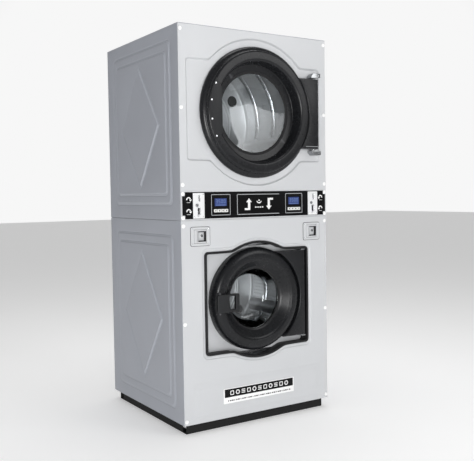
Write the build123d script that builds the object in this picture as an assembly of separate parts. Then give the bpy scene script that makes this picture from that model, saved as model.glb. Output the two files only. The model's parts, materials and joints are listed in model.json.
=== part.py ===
from build123d import *
import math
import os

os.makedirs("parts", exist_ok=True)

# Stacked coin-operated laundry machine: tumble dryer above a front-loading washer.
# Millimetres, +Z up. The machine faces -Y and +X is to the right of a person in front of it.
# The origin is on the floor under the middle of the machine.

# ---------------------------------------------------------------- driving dimensions
WIDTH = 900
DEPTH = 850
PLINTH_HEIGHT = 50
PLINTH_INSET = 20
PLINTH_WALL = 3
PLINTH_FLANGE = 40
ANCHOR_X = 380
ANCHOR_RADIUS = 7
SEAM_HEIGHT = 1058
CONTROL_TOP = 1195
TOP_HEIGHT = 2005
SHEET = 1.5
RETURN = 18
PANEL_GAP = 1
OUTREACH = 45
FIT = 0.05
SLACK = 0.4

SIDE_RECTANGLES = ((670, 0, 30), (590, 48, 24))
SIDE_STEP = 3
SIDE_SLOPE = 8
DIAMOND_REACH = 220
DIAMOND_RISE = 5
SKIRT = (790, 162, 12)
SKIRT_TOP = (730, 107, 8)
SKIRT_Z = (169, 174.5)
NAMEPLATE = (440, 76, 3)
NAMEPLATE_SPOT = (-8, 163)
CAP_X = 438
CAP_HEIGHTS = (70, 551, 1031, 1071, 1187, 1231, 1603, 1978)

FRONT = -DEPTH / 2
BACK = DEPTH / 2
SIDE = WIDTH / 2

DRYER_Z = 1596
DRYER_DOOR_RADIUS = 333
DRYER_DRUM_RADIUS = 380
DRYER_DRUM_FRONT = -385
DRYER_DRUM_REAR = 250
DRYER_OPENING = 292
DRYER_DISH = (411, 250, 14, 376)
DRYER_DISH_DEPTH = 10
DRYER_DISH_SLOPE = 9
DRYER_HINGE = (352, -445)
HINGE_PLATE_Z = (1416, 1786)
HANDLE_CHORD = 233
HANDLE_RADIUS = 306

WASHER_Z = 638
WASHER_DOOR_RADIUS = 268
WASHER_DRUM_RADIUS = 330
WASHER_DRUM_FRONT = -318
WASHER_DRUM_REAR = 138
WASHER_TUB_RADIUS = 365
WASHER_TUB_FRONT = -340
WASHER_TUB_REAR = 165
WASHER_MOUTH = 216
WASHER_RECESS = 65
WASHER_STEP = (339, 280, 30, 322)
WASHER_STEP_DEPTH = 5
WASHER_STEP_SLOPE = 6
WASHER_FRONT_OPENING = (321, 260, 20, 305)
WASHER_HINGE = (287, -415)
WASHER_PLATE_Z = (421, 878)
HANDLE_PIVOT = (-245, -437)

MOTOR_X = 215
DRYER_MOTOR_Z = 1190
WASHER_MOTOR_Z = 172
PULLEY_FRONT = 318
PULLEY_WIDTH = 20
DRYER_PULLEY_RADIUS = 190
DRYER_MOTOR_PULLEY_RADIUS = 20
WASHER_PULLEY_RADIUS = 170
WASHER_MOTOR_PULLEY_RADIUS = 25

COIN_PLATE = (64, 125)
COIN_X = 353
COIN_Z = 1128.5
COIN_CUTOUT = (58, 117)
REJECT_RADIUS = 6
CONTROLLER = (116, 109)
CONTROLLER_X = 226.5
CONTROLLER_Z = 1130.5
CONTROLLER_CUTOUT = (102, 97)
DISPLAY = (84, 46)
BUTTON = (18, 15)
BUTTON_PITCH = 21
BUTTON_Z = 1101.5
BUTTON_COUNT = 4
VAULT_PLATE = (108, 92)
VAULT_PLATE_THICKNESS = 2.5
VAULT_X = 345
VAULT_Z = 977.5
VAULT_HOLE = (76, 74)
DRAWER = (70, 68)
DRAWER_LENGTH = 150
POCKET = (-20, 33, 26)
POCKET_DEPTH = 14
POCKET_RAMP = 20
DRAWER_FLOOR = 6
DRAWER_WALL = 2
LOCK_OFFSET = (15, 2.5)
LOCK_RADIUS = 7

EXHAUST = (-165, 1152)
EXHAUST_RADIUS = 76
DRAIN = (-160, 150)
DRAIN_RADIUS = 38.1
WATER_INLETS = ((-250, 960), (-180, 960))
WATER_RADIUS = 13.2
GLAND = (250, 975)
GLAND_RADIUS = 16
CABLE_RADIUS = 9
NECK = 2

# ---------------------------------------------------------------- helpers


def facing(y):
    """Drawing plane at depth y: sketch x is +X, sketch y is +Z, normal is -Y."""
    return Plane(origin=(0, y, 0), x_dir=(1, 0, 0), z_dir=(0, -1, 0))


def slab(sketch, y_near, y_far):
    """A flat outline given extent in depth, from y_near (front) to y_far (rear)."""
    return extrude(facing(y_far) * sketch, amount=y_far - y_near)


def block(x, y, z):
    """A box from three (low, high) pairs."""
    size = [high - low for low, high in (x, y, z)]
    middle = [(high + low) / 2 for low, high in (x, y, z)]
    return Pos(*middle) * Box(*size)


def rod(x, z, radius, y_near, y_far):
    """A round bar along Y."""
    return slab(Pos(x, z) * Circle(radius), y_near, y_far)


def upright(x, y, radius, z_low, z_high):
    """A round bar along Z."""
    return Pos(x, y, (z_low + z_high) / 2) * Cylinder(radius, z_high - z_low)


def turned(points, z, x=0, round_by=0):
    """A body of revolution about a line along Y, from (radius, y) corner points."""
    if round_by:
        radii = round_by if isinstance(round_by, list) else [round_by] * len(points)
        outline = FilletPolyline(*points, radius=radii, close=True)
    else:
        outline = Polyline(*points, close=True)
    return Pos(x, 0, z) * revolve(make_face(outline), Axis.Y)


def out(height):
    """Depth coordinate of a point that stands this far in front of the front sheet."""
    return FRONT - height


def porthole(size, z, inset=0, corner=None, blend=25):
    """Rounded rectangle joined with a circle, the shape pressed round each door.

    size is the half width, the half height, the corner radius and the radius of the circle.
    """
    half_width, half_height, corner, radius = [
        size[0] - inset, size[1] - inset, size[2] if corner is None else corner, size[3] - inset]
    shape = Circle(radius) + RectangleRounded(2 * half_width, 2 * half_height, corner)
    inner = [v for v in shape.vertices() if abs(math.hypot(v.X, v.Y) - radius) < 0.01]
    return Pos(0, z) * fillet(inner, blend)


def pressed(outer, inner, y_outer, y_inner):
    """Sloping wall of a pressing, between two outlines at two depths."""
    return loft([facing(y_outer) * outer, facing(y_inner) * inner], ruled=True)


def save(name, shape):
    export_step(shape, f"parts/{name}.step")


def both(make):
    """Two copies of one piece, at the left and at the right."""
    return Compound(children=[solid for side in (-1, 1) for solid in make(side).solids()])


def union(shapes):
    """Separate solids kept together in one sub-part."""
    return Compound(children=[solid for shape in shapes for solid in shape.solids()])


# ---------------------------------------------------------------- base and frame


def base_plinth():
    """Four lengths of folded channel under the cabinet, with holes for anchor bolts."""
    x_edge, y_front, y_back = SIDE - PLINTH_INSET - 3, FRONT + PLINTH_INSET + 6, BACK - PLINTH_INSET - 6
    wall, flange = PLINTH_WALL, PLINTH_FLANGE
    height = (0, PLINTH_HEIGHT)
    hollow = (wall, PLINTH_HEIGHT - wall)

    sides = []
    for low, open_low, open_high in ((-x_edge, wall, flange), (x_edge - flange, 0, flange - wall)):
        length = (y_front + flange, y_back - flange)
        shape = block((low, low + flange), length, height)
        sides.append(shape - block((low + open_low, low + open_high), length, hollow))
    front = block((-x_edge, x_edge), (y_front, y_front + flange), height)
    front -= block((-x_edge, x_edge), (y_front + wall, y_front + flange), hollow)
    rear = block((-x_edge, x_edge), (y_back - flange, y_back), height)
    rear -= block((-x_edge, x_edge), (y_back - flange, y_back - wall), hollow)
    for x in (-ANCHOR_X, ANCHOR_X):
        front -= upright(x, y_front + flange / 2 + 2, ANCHOR_RADIUS, -1, wall + 1)
        rear -= upright(x, y_back - flange / 2 - 2, ANCHOR_RADIUS, -1, wall + 1)
    return union(sides + [front, rear])


def frame():
    """Corner posts, rails at three heights and the saddles that carry the washer tub."""
    leg, wall, inset = 30, 3, 4
    low, high = PLINTH_HEIGHT + 2, TOP_HEIGHT - 8
    x_out, y_out = SIDE - inset, BACK - inset
    members = []
    for sx in (-1, 1):
        for sy in (-1, 1):
            post = block((-leg / 2, leg / 2), (-leg / 2, leg / 2), (low, high))
            post -= Pos(-sx * wall, -sy * wall, 0) * block((-leg / 2, leg / 2), (-leg / 2, leg / 2),
                                                           (low - 1, high + 1))
            members.append(Pos(sx * (x_out - leg / 2), sy * (y_out - leg / 2), 0) * post)
    for z in (low, SEAM_HEIGHT - 34, high - leg):
        for sy in (-1, 1):
            y = sorted((sy * (y_out - 10), sy * (y_out - 18)))
            members.append(block((-x_out + leg, x_out - leg), y, (z, z + leg)))
        for sx in (-1, 1):
            x = sorted((sx * (x_out - 10), sx * (x_out - 18)))
            members.append(block(x, (-y_out + leg, y_out - leg), (z, z + leg)))
    for y in (-215, 60):
        beam = block((-x_out + leg, x_out - leg), (y - 20, y + 20), (low, low + leg))
        saddle = block((-300, 300), (y - 5, y + 5), (low + leg, WASHER_Z - 190))
        saddle -= rod(0, WASHER_Z, WASHER_TUB_RADIUS, y - 10, y + 10)
        members.append(beam + saddle)
    return union(members)


def mid_deck():
    """Shelf between the two machines, folded up at the front behind the control panel."""
    z = (SEAM_HEIGHT, SEAM_HEIGHT + 2)
    shelf = block((-SIDE + 3, SIDE - 3), (FRONT + 4.2, BACK - 4.2), z)
    for sx in (-1, 1):
        for sy in (-1, 1):
            shelf -= Pos(sx * SIDE, sy * BACK, 0) * block((-36, 36), (-36, 36), (z[0] - 1, z[1] + 1))
    deck = shelf + block((-SIDE + 36, SIDE - 36), (FRONT, FRONT + 5), z)
    deck += block((-SIDE, SIDE), (FRONT, FRONT + SHEET), (SEAM_HEIGHT, CONTROL_TOP - PANEL_GAP))
    for side in (-1, 1):
        openings = Pos(side * COIN_X, COIN_Z) * Rectangle(*COIN_CUTOUT)
        openings += Pos(side * CONTROLLER_X, CONTROLLER_Z) * Rectangle(*CONTROLLER_CUTOUT)
        deck -= slab(openings, FRONT - 5, FRONT + 5)
    return deck


# ---------------------------------------------------------------- cabinet panels


def side_panel(side, z_low, z_high, rectangle_z, diamond_z, diamond_half):
    """Side sheet with two stepped rectangles and a raised diamond, folded in at front and back."""
    y_low, y_high = FRONT + SHEET + PANEL_GAP, BACK - SHEET - PANEL_GAP
    middle = (rectangle_z[0] + rectangle_z[1]) / 2
    half = (rectangle_z[1] - rectangle_z[0]) / 2

    def level(sketch, x):
        return Plane(origin=(x, 0, 0), x_dir=(0, 1, 0), z_dir=(1, 0, 0)) * sketch

    def raised(outline, x, height):
        return loft([level(outline(0), x), level(outline(SIDE_SLOPE), x + height)], ruled=True)

    def stepped(number, inset):
        width, shorter, corner = SIDE_RECTANGLES[number]
        return Pos(0, middle) * RectangleRounded(width - 2 * inset, 2 * (half - shorter - inset), corner)

    def diamond(inset):
        across, tall = DIAMOND_REACH - inset * 1.3, diamond_half - inset * 1.6
        return Pos(0, diamond_z) * Polygon((across, 0), (0, tall), (-across, 0), (0, -tall), align=None)

    def skin(shift):
        x = SIDE - shift
        body = block((SIDE - RETURN, x), (y_low, y_high), (z_low, z_high))
        body += raised(lambda inset: stepped(0, inset), x, SIDE_STEP)
        body += raised(lambda inset: stepped(1, inset), x + SIDE_STEP, SIDE_STEP)
        return body + raised(diamond, x + 2 * SIDE_STEP, DIAMOND_RISE)

    hollow = skin(SHEET) & block((0, SIDE + 50), (y_low + SHEET, y_high - SHEET), (z_low, z_high))
    shell = skin(0) - hollow
    return shell if side > 0 else mirror(shell, about=Plane.YZ)


def lower_side_panels():
    return both(lambda side: side_panel(side, PLINTH_HEIGHT, SEAM_HEIGHT - PANEL_GAP, (125, 978), 550, 326))


def upper_side_panels():
    return both(lambda side: side_panel(side, SEAM_HEIGHT + PANEL_GAP, TOP_HEIGHT - SHEET - PANEL_GAP,
                                        (1138, 1933), 1536, 307))


def front_sheet(z_low, z_high):
    """Flat front sheet with folded top and bottom edges."""
    sheet = block((-SIDE, SIDE), (FRONT, FRONT + SHEET), (z_low, z_high))
    for z in (z_low, z_high - SHEET):
        sheet += block((-SIDE + 36, SIDE - 36), (FRONT, FRONT + RETURN), (z, z + SHEET))
    return sheet


def upper_front_panel():
    """Front sheet of the dryer with the dish pressed in round the door."""
    sheet = front_sheet(CONTROL_TOP, TOP_HEIGHT - SHEET - PANEL_GAP)
    depth, slope = DRYER_DISH_DEPTH, DRYER_DISH_SLOPE
    outer = porthole(DRYER_DISH, DRYER_Z)
    floor = porthole(DRYER_DISH, DRYER_Z, slope, corner=8)
    backing = porthole(DRYER_DISH, DRYER_Z, -SHEET, corner=15)
    backing_floor = porthole(DRYER_DISH, DRYER_Z, slope - SHEET, corner=9)
    sheet += pressed(backing, backing_floor, FRONT + SHEET, FRONT + SHEET + depth)
    sheet -= pressed(outer, floor, FRONT, FRONT + depth)
    return sheet - rod(0, DRYER_Z, DRYER_OPENING, FRONT - 5, FRONT + 40)


def lower_front_panel():
    """Front sheet of the washer: stepped opening for the recessed door, raised skirt panel."""
    sheet = front_sheet(PLINTH_HEIGHT, SEAM_HEIGHT - PANEL_GAP)
    step = WASHER_STEP_DEPTH
    sheet += slab(porthole(WASHER_STEP, WASHER_Z, -3, corner=32), FRONT, FRONT + SHEET + step)
    floor = porthole(WASHER_STEP, WASHER_Z, WASHER_STEP_SLOPE, corner=26)
    sheet -= pressed(porthole(WASHER_STEP, WASHER_Z), floor, FRONT, FRONT + step)
    sheet -= slab(porthole(WASHER_FRONT_OPENING, WASHER_Z), FRONT - 5, FRONT + 20)
    skirt = Pos(0, SKIRT_Z[0]) * RectangleRounded(*SKIRT)
    skirt_top = Pos(0, SKIRT_Z[1]) * RectangleRounded(*SKIRT_TOP)
    raised = loft([facing(FRONT) * skirt, facing(FRONT - step) * skirt_top], ruled=True)
    sheet += raised
    sheet -= Pos(0, SHEET, 0) * raised
    for side in (-1, 1):
        sheet -= slab(Pos(side * VAULT_X, VAULT_Z) * Rectangle(*VAULT_HOLE), FRONT - 5, FRONT + 5)
    return sheet


def top_panel():
    return block((-SIDE, SIDE), (FRONT, BACK), (TOP_HEIGHT - SHEET, TOP_HEIGHT))


def back_panels():
    """Two rear sheets, with service holes below and the exhaust collar above."""
    lower = block((-SIDE, SIDE), (BACK - SHEET, BACK), (PLINTH_HEIGHT, SEAM_HEIGHT - PANEL_GAP))
    upper_z = (SEAM_HEIGHT + PANEL_GAP, TOP_HEIGHT - SHEET - PANEL_GAP)
    upper = block((-SIDE, SIDE), (BACK - SHEET, BACK), upper_z)
    holes = [(*DRAIN, DRAIN_RADIUS), (*GLAND, GLAND_RADIUS)]
    holes += [(*spot, WATER_RADIUS) for spot in WATER_INLETS]
    for x, z, radius in holes:
        lower -= rod(x, z, radius - NECK + SLACK, BACK - 5, BACK + 5)
    upper += rod(*EXHAUST, EXHAUST_RADIUS, BACK - SHEET, BACK + OUTREACH)
    upper -= rod(*EXHAUST, EXHAUST_RADIUS - SHEET, BACK - 10, BACK + OUTREACH + 1)
    return union([lower, upper])


def control_panel():
    """Black overlay with notched corners and cut-outs for the coin plates and controllers."""
    middle = (SEAM_HEIGHT + 5 + CONTROL_TOP) / 2
    height = CONTROL_TOP - SEAM_HEIGHT - 7
    outline = Pos(0, middle) * Rectangle(884, height)
    for sx in (-1, 1):
        for sz in (-1, 1):
            outline -= Pos(sx * 434.5, middle + sz * (height / 2 - 9)) * Rectangle(15.1, 18.1)
        outline -= Pos(sx * COIN_X, COIN_Z) * Rectangle(*COIN_CUTOUT)
        outline -= Pos(sx * CONTROLLER_X, CONTROLLER_Z) * Rectangle(*CONTROLLER_CUTOUT)
    return slab(outline, FRONT - 3, FRONT)


def screw_caps():
    """Domed snap caps over the panel screws, eight down each front edge."""
    profile = [(0, FRONT), (10, FRONT), (9, FRONT - 3), (0, FRONT - 5)]
    caps = []
    for side in (-1, 1):
        for z in CAP_HEIGHTS:
            caps.append(turned(profile, z, side * CAP_X))
    return union(caps)


def nameplate():
    return slab(Pos(*NAMEPLATE_SPOT) * RectangleRounded(*NAMEPLATE), FRONT - 6.5, FRONT - 5)


# ---------------------------------------------------------------- coin gear and controls


def coin_acceptors():
    """Metal plate with entry slot, reject button hole and return cup, on a boxed mechanism."""
    def make(side):
        x, z = side * COIN_X, COIN_Z
        case = Rectangle(COIN_CUTOUT[0] - 2, COIN_CUTOUT[1] - 2)
        body = slab(Pos(x, z) * case, FRONT - 4, FRONT + 90)
        body += slab(Pos(x, z) * RectangleRounded(*COIN_PLATE, 4), FRONT - 6, FRONT - 3)
        body -= slab(Pos(x + 3, z + 36) * Rectangle(3.4, 27), FRONT - 10, FRONT + 30)
        body -= slab(Pos(x, z - 27) * RectangleRounded(10, 30, 2), FRONT - 10, FRONT + 22)
        body -= rod(x - 10, z + 2, REJECT_RADIUS + SLACK, FRONT - 10, FRONT + 10)
        return body
    return both(make)


def reject_button(side):
    """Round push button that runs in the coin plate."""
    x, z = side * COIN_X - 10, COIN_Z + 2
    return rod(x, z, REJECT_RADIUS, FRONT - 10, FRONT + 6)


def button_x(side, number):
    return side * CONTROLLER_X + (number - (BUTTON_COUNT + 1) / 2) * BUTTON_PITCH


def controllers():
    """Face plate with a sunken display window and four key openings, on a boxed circuit."""
    def make(side):
        x, z = side * CONTROLLER_X, CONTROLLER_Z
        case = Rectangle(CONTROLLER_CUTOUT[0] - 2, CONTROLLER_CUTOUT[1] - 2)
        body = slab(Pos(x, z) * case, FRONT - 4, FRONT + 50)
        body += slab(Pos(x, z) * RectangleRounded(*CONTROLLER, 6), FRONT - 5, FRONT - 3)
        body -= slab(Pos(x, CONTROLLER_Z + 13) * Rectangle(*DISPLAY), FRONT - 10, FRONT - 4)
        for number in range(1, BUTTON_COUNT + 1):
            opening = Rectangle(BUTTON[0] + 2 * SLACK, BUTTON[1] + 2 * SLACK)
            body -= slab(Pos(button_x(side, number), BUTTON_Z) * opening, FRONT - 10, FRONT + 8)
        return body
    return both(make)


def controller_button(side, number):
    """Rectangular push button with rounded corners."""
    return slab(Pos(button_x(side, number), BUTTON_Z) * RectangleRounded(*BUTTON, 2), FRONT - 8, FRONT + 5)


def coin_vaults():
    """Cover plate and closed sleeve that hold each coin drawer."""
    def make(side):
        x, z = side * VAULT_X, VAULT_Z
        plate = slab(Pos(x, z) * RectangleRounded(*VAULT_PLATE, 10), FRONT - VAULT_PLATE_THICKNESS, FRONT)
        rear = FRONT + DRAWER_LENGTH + 25
        sleeve = slab(Pos(x, z) * Rectangle(DRAWER[0] + 4, DRAWER[1] + 4), FRONT - 1, rear)
        cavity = slab(Pos(x, z) * Rectangle(*DRAWER), FRONT - 5, rear - 2)
        return plate + sleeve - cavity
    return both(make)


def coin_drawer(side):
    """Open coin tray with a thick front that has a ramped pocket round its lock."""
    x, z = side * VAULT_X, VAULT_Z
    near = FRONT - VAULT_PLATE_THICKNESS
    floor = near + POCKET_DEPTH
    face_back = floor + DRAWER_FLOOR
    width, height = DRAWER
    face = slab(Pos(x, z) * Rectangle(width - 1, height - 1), near, face_back)
    left, right, half = POCKET
    ramp = Polygon((x + left, near - 1), (x + right, near - 1), (x + right, floor),
                   (x + left + POCKET_RAMP, floor), (x + left, near), align=None)
    face -= Pos(0, 0, z - half) * extrude(ramp, amount=2 * half)
    face -= rod(x + LOCK_OFFSET[0], z + LOCK_OFFSET[1], LOCK_RADIUS + FIT, near, face_back + 1)
    tray_back = near + DRAWER_LENGTH
    tray = slab(Pos(x, z) * Rectangle(width - 2, height - 2), face_back, tray_back)
    inner_half = width / 2 - 1 - DRAWER_WALL
    bottom = z - height / 2 + 1 + DRAWER_WALL
    inside_y = (face_back, tray_back - DRAWER_WALL)
    tray -= block((x - inner_half, x + inner_half), inside_y, (bottom, z + height))
    return face + tray


def coin_lock(side):
    """Lock barrel with a keyway and a short cam behind the drawer front."""
    x, z = side * VAULT_X + LOCK_OFFSET[0], VAULT_Z + LOCK_OFFSET[1]
    floor = FRONT - VAULT_PLATE_THICKNESS + POCKET_DEPTH
    near = floor - 2
    rear = floor + DRAWER_FLOOR
    barrel = rod(x, z, LOCK_RADIUS, near, rear + 1)
    barrel -= slab(Pos(x, z) * Rectangle(2, 7), near - 1, near + 4)
    return barrel + slab(Pos(x, z + 5) * RectangleRounded(9, 19, 4), rear + 1, rear + 3)


# ---------------------------------------------------------------- dryer door


def dryer_door_ring():
    """Thick black ring: low outer flange, raised face and a funnel down to the glass."""
    radius = DRYER_DOOR_RADIUS
    profile = [(radius, out(-9.5)), (radius, out(5)), (321, out(16)), (311, out(19)), (308, out(36)),
               (300, out(40)), (264, out(40)), (255, out(34)), (247, out(-24)), (204, out(-28)),
               (204, out(-32)), (246, out(-32)), (246, out(-40)), (284, out(-40)), (284, out(-9.5))]
    corners = [2, 8, 6, 1, 4, 4, 6, 3, 4, 1, 1, 1, 2, 4, 1]
    return turned(profile, DRYER_Z, round_by=corners)


def dryer_door_glass():
    """Round pane that bulges a little into the drum."""
    edge, rim, crown = 245, 204, 18
    front, back = out(-32), out(-38)
    curve = (rim ** 2 + crown ** 2) / (2 * crown)
    bulge = Pos(0, back + crown - curve, DRYER_Z) * Sphere(curve)
    hollow = Pos(0, front + crown - curve, DRYER_Z) * Sphere(curve)
    pane = rod(0, DRYER_Z, edge, front, back) + (bulge & rod(0, DRYER_Z, edge, back - 1, back + 50))
    return pane - hollow


def dryer_door_handle():
    """Flat grip plate over the left of the ring, with a straight inner edge to pull."""
    corner = math.radians(31)
    x, z = -HANDLE_RADIUS * math.cos(corner), HANDLE_RADIUS * math.sin(corner)
    edges = [Line((-HANDLE_CHORD, -110), (-HANDLE_CHORD, 110)), Line((-HANDLE_CHORD, 110), (x, z)),
             ThreePointArc((x, z), (-HANDLE_RADIUS, 0), (x, -z)), Line((x, -z), (-HANDLE_CHORD, -110))]
    return slab(Pos(0, DRYER_Z) * make_face(edges), out(OUTREACH), out(40))


def dryer_door_hinge_plate():
    """Hinge leaf on the right of the ring, bored top and bottom for the hinge pins."""
    x, y = DRYER_HINGE
    low, high = HINGE_PLATE_Z
    middle, height = (low + high) / 2, high - low
    leaf = slab(Pos((240 + x + 22) / 2, middle) * Rectangle(x + 22 - 240, height), y - 18, y + 18)
    leaf = fillet(leaf.edges().filter_by(Axis.Z).sort_by(Axis.X)[-2:], 10)
    leaf -= rod(0, DRYER_Z, DRYER_DOOR_RADIUS + 0.2, y - 1, y + 60)
    leaf -= rod(0, DRYER_Z, 311.5, y - 60, y + 60)
    for z in (low, high):
        leaf -= upright(x, y, 6 + FIT, z - 30, z + 30)
    return leaf


# ---------------------------------------------------------------- washer door


def washer_door_ring():
    """Rounded black ring with a groove, a funnel to the glass and two ears for the handle."""
    radius = WASHER_DOOR_RADIUS
    profile = [(radius, out(-64)), (radius, out(-26)), (254, out(-6)), (236, out(0)), (212, out(0)),
               (207, out(-6)), (202, out(-8)), (166, out(-38)), (157, out(-42)), (157, out(-47)),
               (178, out(-47)), (178, out(-64))]
    corners = [2, 16, 14, 10, 2, 1, 4, 6, 2, 1, 1, 1]
    ring = turned(profile, WASHER_Z, round_by=corners)
    x, y = HANDLE_PIVOT
    for low, high in ((580, 589), (683, 692)):
        ring += block((x - 8, x + 8), (y - 7, out(-30)), (low, high))
    for low, high in ((585, 598), (674, 687)):
        ring += upright(x, y, 4, low, high)
    return ring


def washer_door_glass():
    """Deep glass bowl that reaches into the drum."""
    profile = [(0, out(-146)), (110, out(-144)), (131, out(-134)), (157, out(-55)), (177, out(-55)),
               (177, out(-47)), (151, out(-47)), (125, out(-130)), (108, out(-138)), (0, out(-140))]
    return turned(profile, WASHER_Z)


def washer_door_handle():
    """Lever with a finger loop that pivots on the ears of the door ring."""
    x, y = HANDLE_PIVOT
    lever = slab(Pos(-198, 636) * RectangleRounded(128, 92, 5), y - 11, y + 8)
    lever -= slab(Pos(-175, 637.5) * RectangleRounded(38, 69, 4), y - 30, y + 30)
    for z in (590, 682):
        lever -= upright(x, y, 4 + FIT, z - 9, z + 9)
    return lever


def washer_door_hinge_plate():
    """Hinge leaf that hugs the right of the washer ring."""
    x, y = WASHER_HINGE
    low, high = WASHER_PLATE_Z
    left, right = 140, x + 12
    leaf = Pos((left + right) / 2, (low + high) / 2) * Rectangle(right - left, high - low)
    leaf = slab(leaf, y - 10, y + 25)
    leaf = fillet(leaf.edges().filter_by(Axis.Z).sort_by(Axis.X)[-2:], 4)
    leaf -= rod(0, WASHER_Z, WASHER_DOOR_RADIUS, y - 60, y + 60)
    for z in (low, high):
        leaf -= upright(x, y, 4 + FIT, z - 25, z + 25)
    return leaf


def door_hinge_brackets():
    """Fixed hinge brackets with their pins, two for each door."""
    x, y = DRYER_HINGE
    low, high = HINGE_PLATE_Z
    floor = FRONT + DRYER_DISH_DEPTH
    brackets = []
    upper, lower = ((high + 5, high + 33), (high - 25, high + 6)), ((low - 33, low - 5), (low - 6, low + 25))
    for z, pin in (upper, lower):
        arm = block((x - 20, x + 40), (y - 12, floor), z)
        brackets.append(arm + upright(x, y, 6, *pin))
    x, y = WASHER_HINGE
    low, high = WASHER_PLATE_Z
    upper, lower = ((high + 1, high + 7), (high - 20, high + 2)), ((low - 7, low - 1), (low - 2, low + 20))
    for z, pin in (upper, lower):
        arm = block((x - 12, x + 14), (y - 9, FRONT + WASHER_RECESS), z)
        brackets.append(arm + upright(x, y, 4, *pin))
    return union(brackets)


# ---------------------------------------------------------------- washer front recess


def washer_recess_trim():
    """Black edging of the recess: a lip at the front and a wall back to the inner plate."""
    floor = FRONT + WASHER_RECESS - 1
    outer = porthole(WASHER_FRONT_OPENING, WASHER_Z, 0.3)
    wall = slab(outer, FRONT + 4, floor)
    wall -= slab(porthole(WASHER_FRONT_OPENING, WASHER_Z, 5, corner=16), FRONT - 5, floor + 5)
    lip = slab(outer, FRONT - 2, FRONT + 4)
    lip -= slab(porthole(WASHER_FRONT_OPENING, WASHER_Z, 12, corner=10), FRONT - 5, floor)
    return wall + lip


def washer_recess_panel():
    """White inner plate round the washer mouth."""
    y = FRONT + WASHER_RECESS - 1
    plate = slab(porthole(WASHER_FRONT_OPENING, WASHER_Z, -14), y + 1, y + 1 + SHEET)
    return plate - rod(0, WASHER_Z, WASHER_MOUTH, y - 5, y + 9)


def washer_door_gasket():
    """Rubber ring between the tub and the door."""
    profile = [(168, WASHER_TUB_FRONT), (168, FRONT + 67), (176, FRONT + 64.6), (204, FRONT + 64.6),
               (WASHER_MOUTH - 1, FRONT + 68), (WASHER_MOUTH - 1, WASHER_TUB_FRONT)]
    return turned(profile, WASHER_Z)


# ---------------------------------------------------------------- drums and drives


def lifter(radius, height, base, y_near, y_far, angle, z):
    """Hollow folded lifter standing on the inside of a drum."""
    outer = FilletPolyline((-base / 2, -radius + 1), (-12, -radius + height), (12, -radius + height),
                           (base / 2, -radius + 1), radius=[0.5, 9, 9, 0.5], close=True)
    inner = Polygon((-base / 2 + 5, -radius - 1), (-9, -radius + height - 3), (9, -radius + height - 3),
                    (base / 2 - 5, -radius - 1), align=None)
    return slab(Pos(0, z) * Rot(0, 0, angle) * (make_face(outer) - inner), y_near, y_far)


def drum(radius, near, far, mouth, wall, z, lift, base, hub, shaft, shaft_end):
    """Cylinder with a rolled front lip, closed back, three lifters, hub and shaft."""
    shell = rod(0, z, radius, near, far) - rod(0, z, radius - wall, near + wall, far - wall)
    shell -= rod(0, z, mouth, near - 1, near + wall + 1)
    for k in range(3):
        shell += lifter(radius - wall, lift, base, near + 20, far - 20, 40 + 120 * k, z)
    flange = [(0, far - wall), (hub, far - wall), (hub, far + 3), (shaft + 12, far + 12), (0, far + 12)]
    shell += turned(flange, z)
    return shell + rod(0, z, shaft, far, shaft_end)


def dryer_drum():
    return drum(DRYER_DRUM_RADIUS, DRYER_DRUM_FRONT, DRYER_DRUM_REAR, mouth=300, wall=2, z=DRYER_Z,
                lift=60, base=86, hub=90, shaft=20, shaft_end=345)


def washer_drum():
    return drum(WASHER_DRUM_RADIUS, WASHER_DRUM_FRONT, WASHER_DRUM_REAR, mouth=205, wall=2, z=WASHER_Z,
                lift=50, base=76, hub=95, shaft=25, shaft_end=345)


def pulley(radius, bore, hub, x, z):
    """Belt pulley with a rim, a web with round lightening holes, and a hub."""
    near, far = PULLEY_FRONT, PULLEY_FRONT + PULLEY_WIDTH
    body = rod(x, z, radius, near, far) - rod(x, z, radius - 12, near, near + 6)
    body -= rod(x, z, radius - 12, far - 6, far)
    body += rod(x, z, hub, near, far)
    middle = (radius - 12 + hub) / 2
    for k in range(6):
        angle = math.radians(60 * k + 30)
        body -= rod(x + middle * math.cos(angle), z + middle * math.sin(angle), middle * 0.3, near, far)
    return body - rod(x, z, bore, near, far)


def motor_rotor(radius, z, shaft, far):
    """Small pulley on the motor's shaft, whose inner end turns inside the motor."""
    body = rod(MOTOR_X, z, radius, PULLEY_FRONT, PULLEY_FRONT + PULLEY_WIDTH)
    return body + rod(MOTOR_X, z, shaft, 250, far)


def belt(pulley_radius, motor_radius, drum_z, motor_z):
    """Flat belt round both pulleys."""
    gap, thick = SLACK, 4
    near, far = PULLEY_FRONT + 3, PULLEY_FRONT + PULLEY_WIDTH - 3

    def loop(extra):
        circles = (Pos(0, drum_z) * Circle(pulley_radius + extra)).edges()
        circles += (Pos(MOTOR_X, motor_z) * Circle(motor_radius + extra)).edges()
        return make_hull(circles)

    return slab(loop(gap + thick), near, far) - slab(loop(gap), near - 1, far + 1)


def motor(radius, z, near, foot_z, shaft):
    """Motor body with end shields, cooling fins, a foot and a bore for the shaft."""
    far = 300
    body = rod(MOTOR_X, z, radius, near, far - 20)
    body += rod(MOTOR_X, z, radius * 0.55, near, far)
    for k in range(12):
        angle = 30 * k
        fin = Rot(0, 0, angle) * Pos(radius + 1, 0) * Rectangle(8, 3)
        body += slab(Pos(MOTOR_X, z) * fin, near + 25, far - 45)
    body += block((MOTOR_X - 50, MOTOR_X + 50), (near + 30, far - 60), (foot_z, z - radius * 0.6))
    return body - rod(MOTOR_X, z, shaft + FIT, 248, far + 1)


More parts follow.
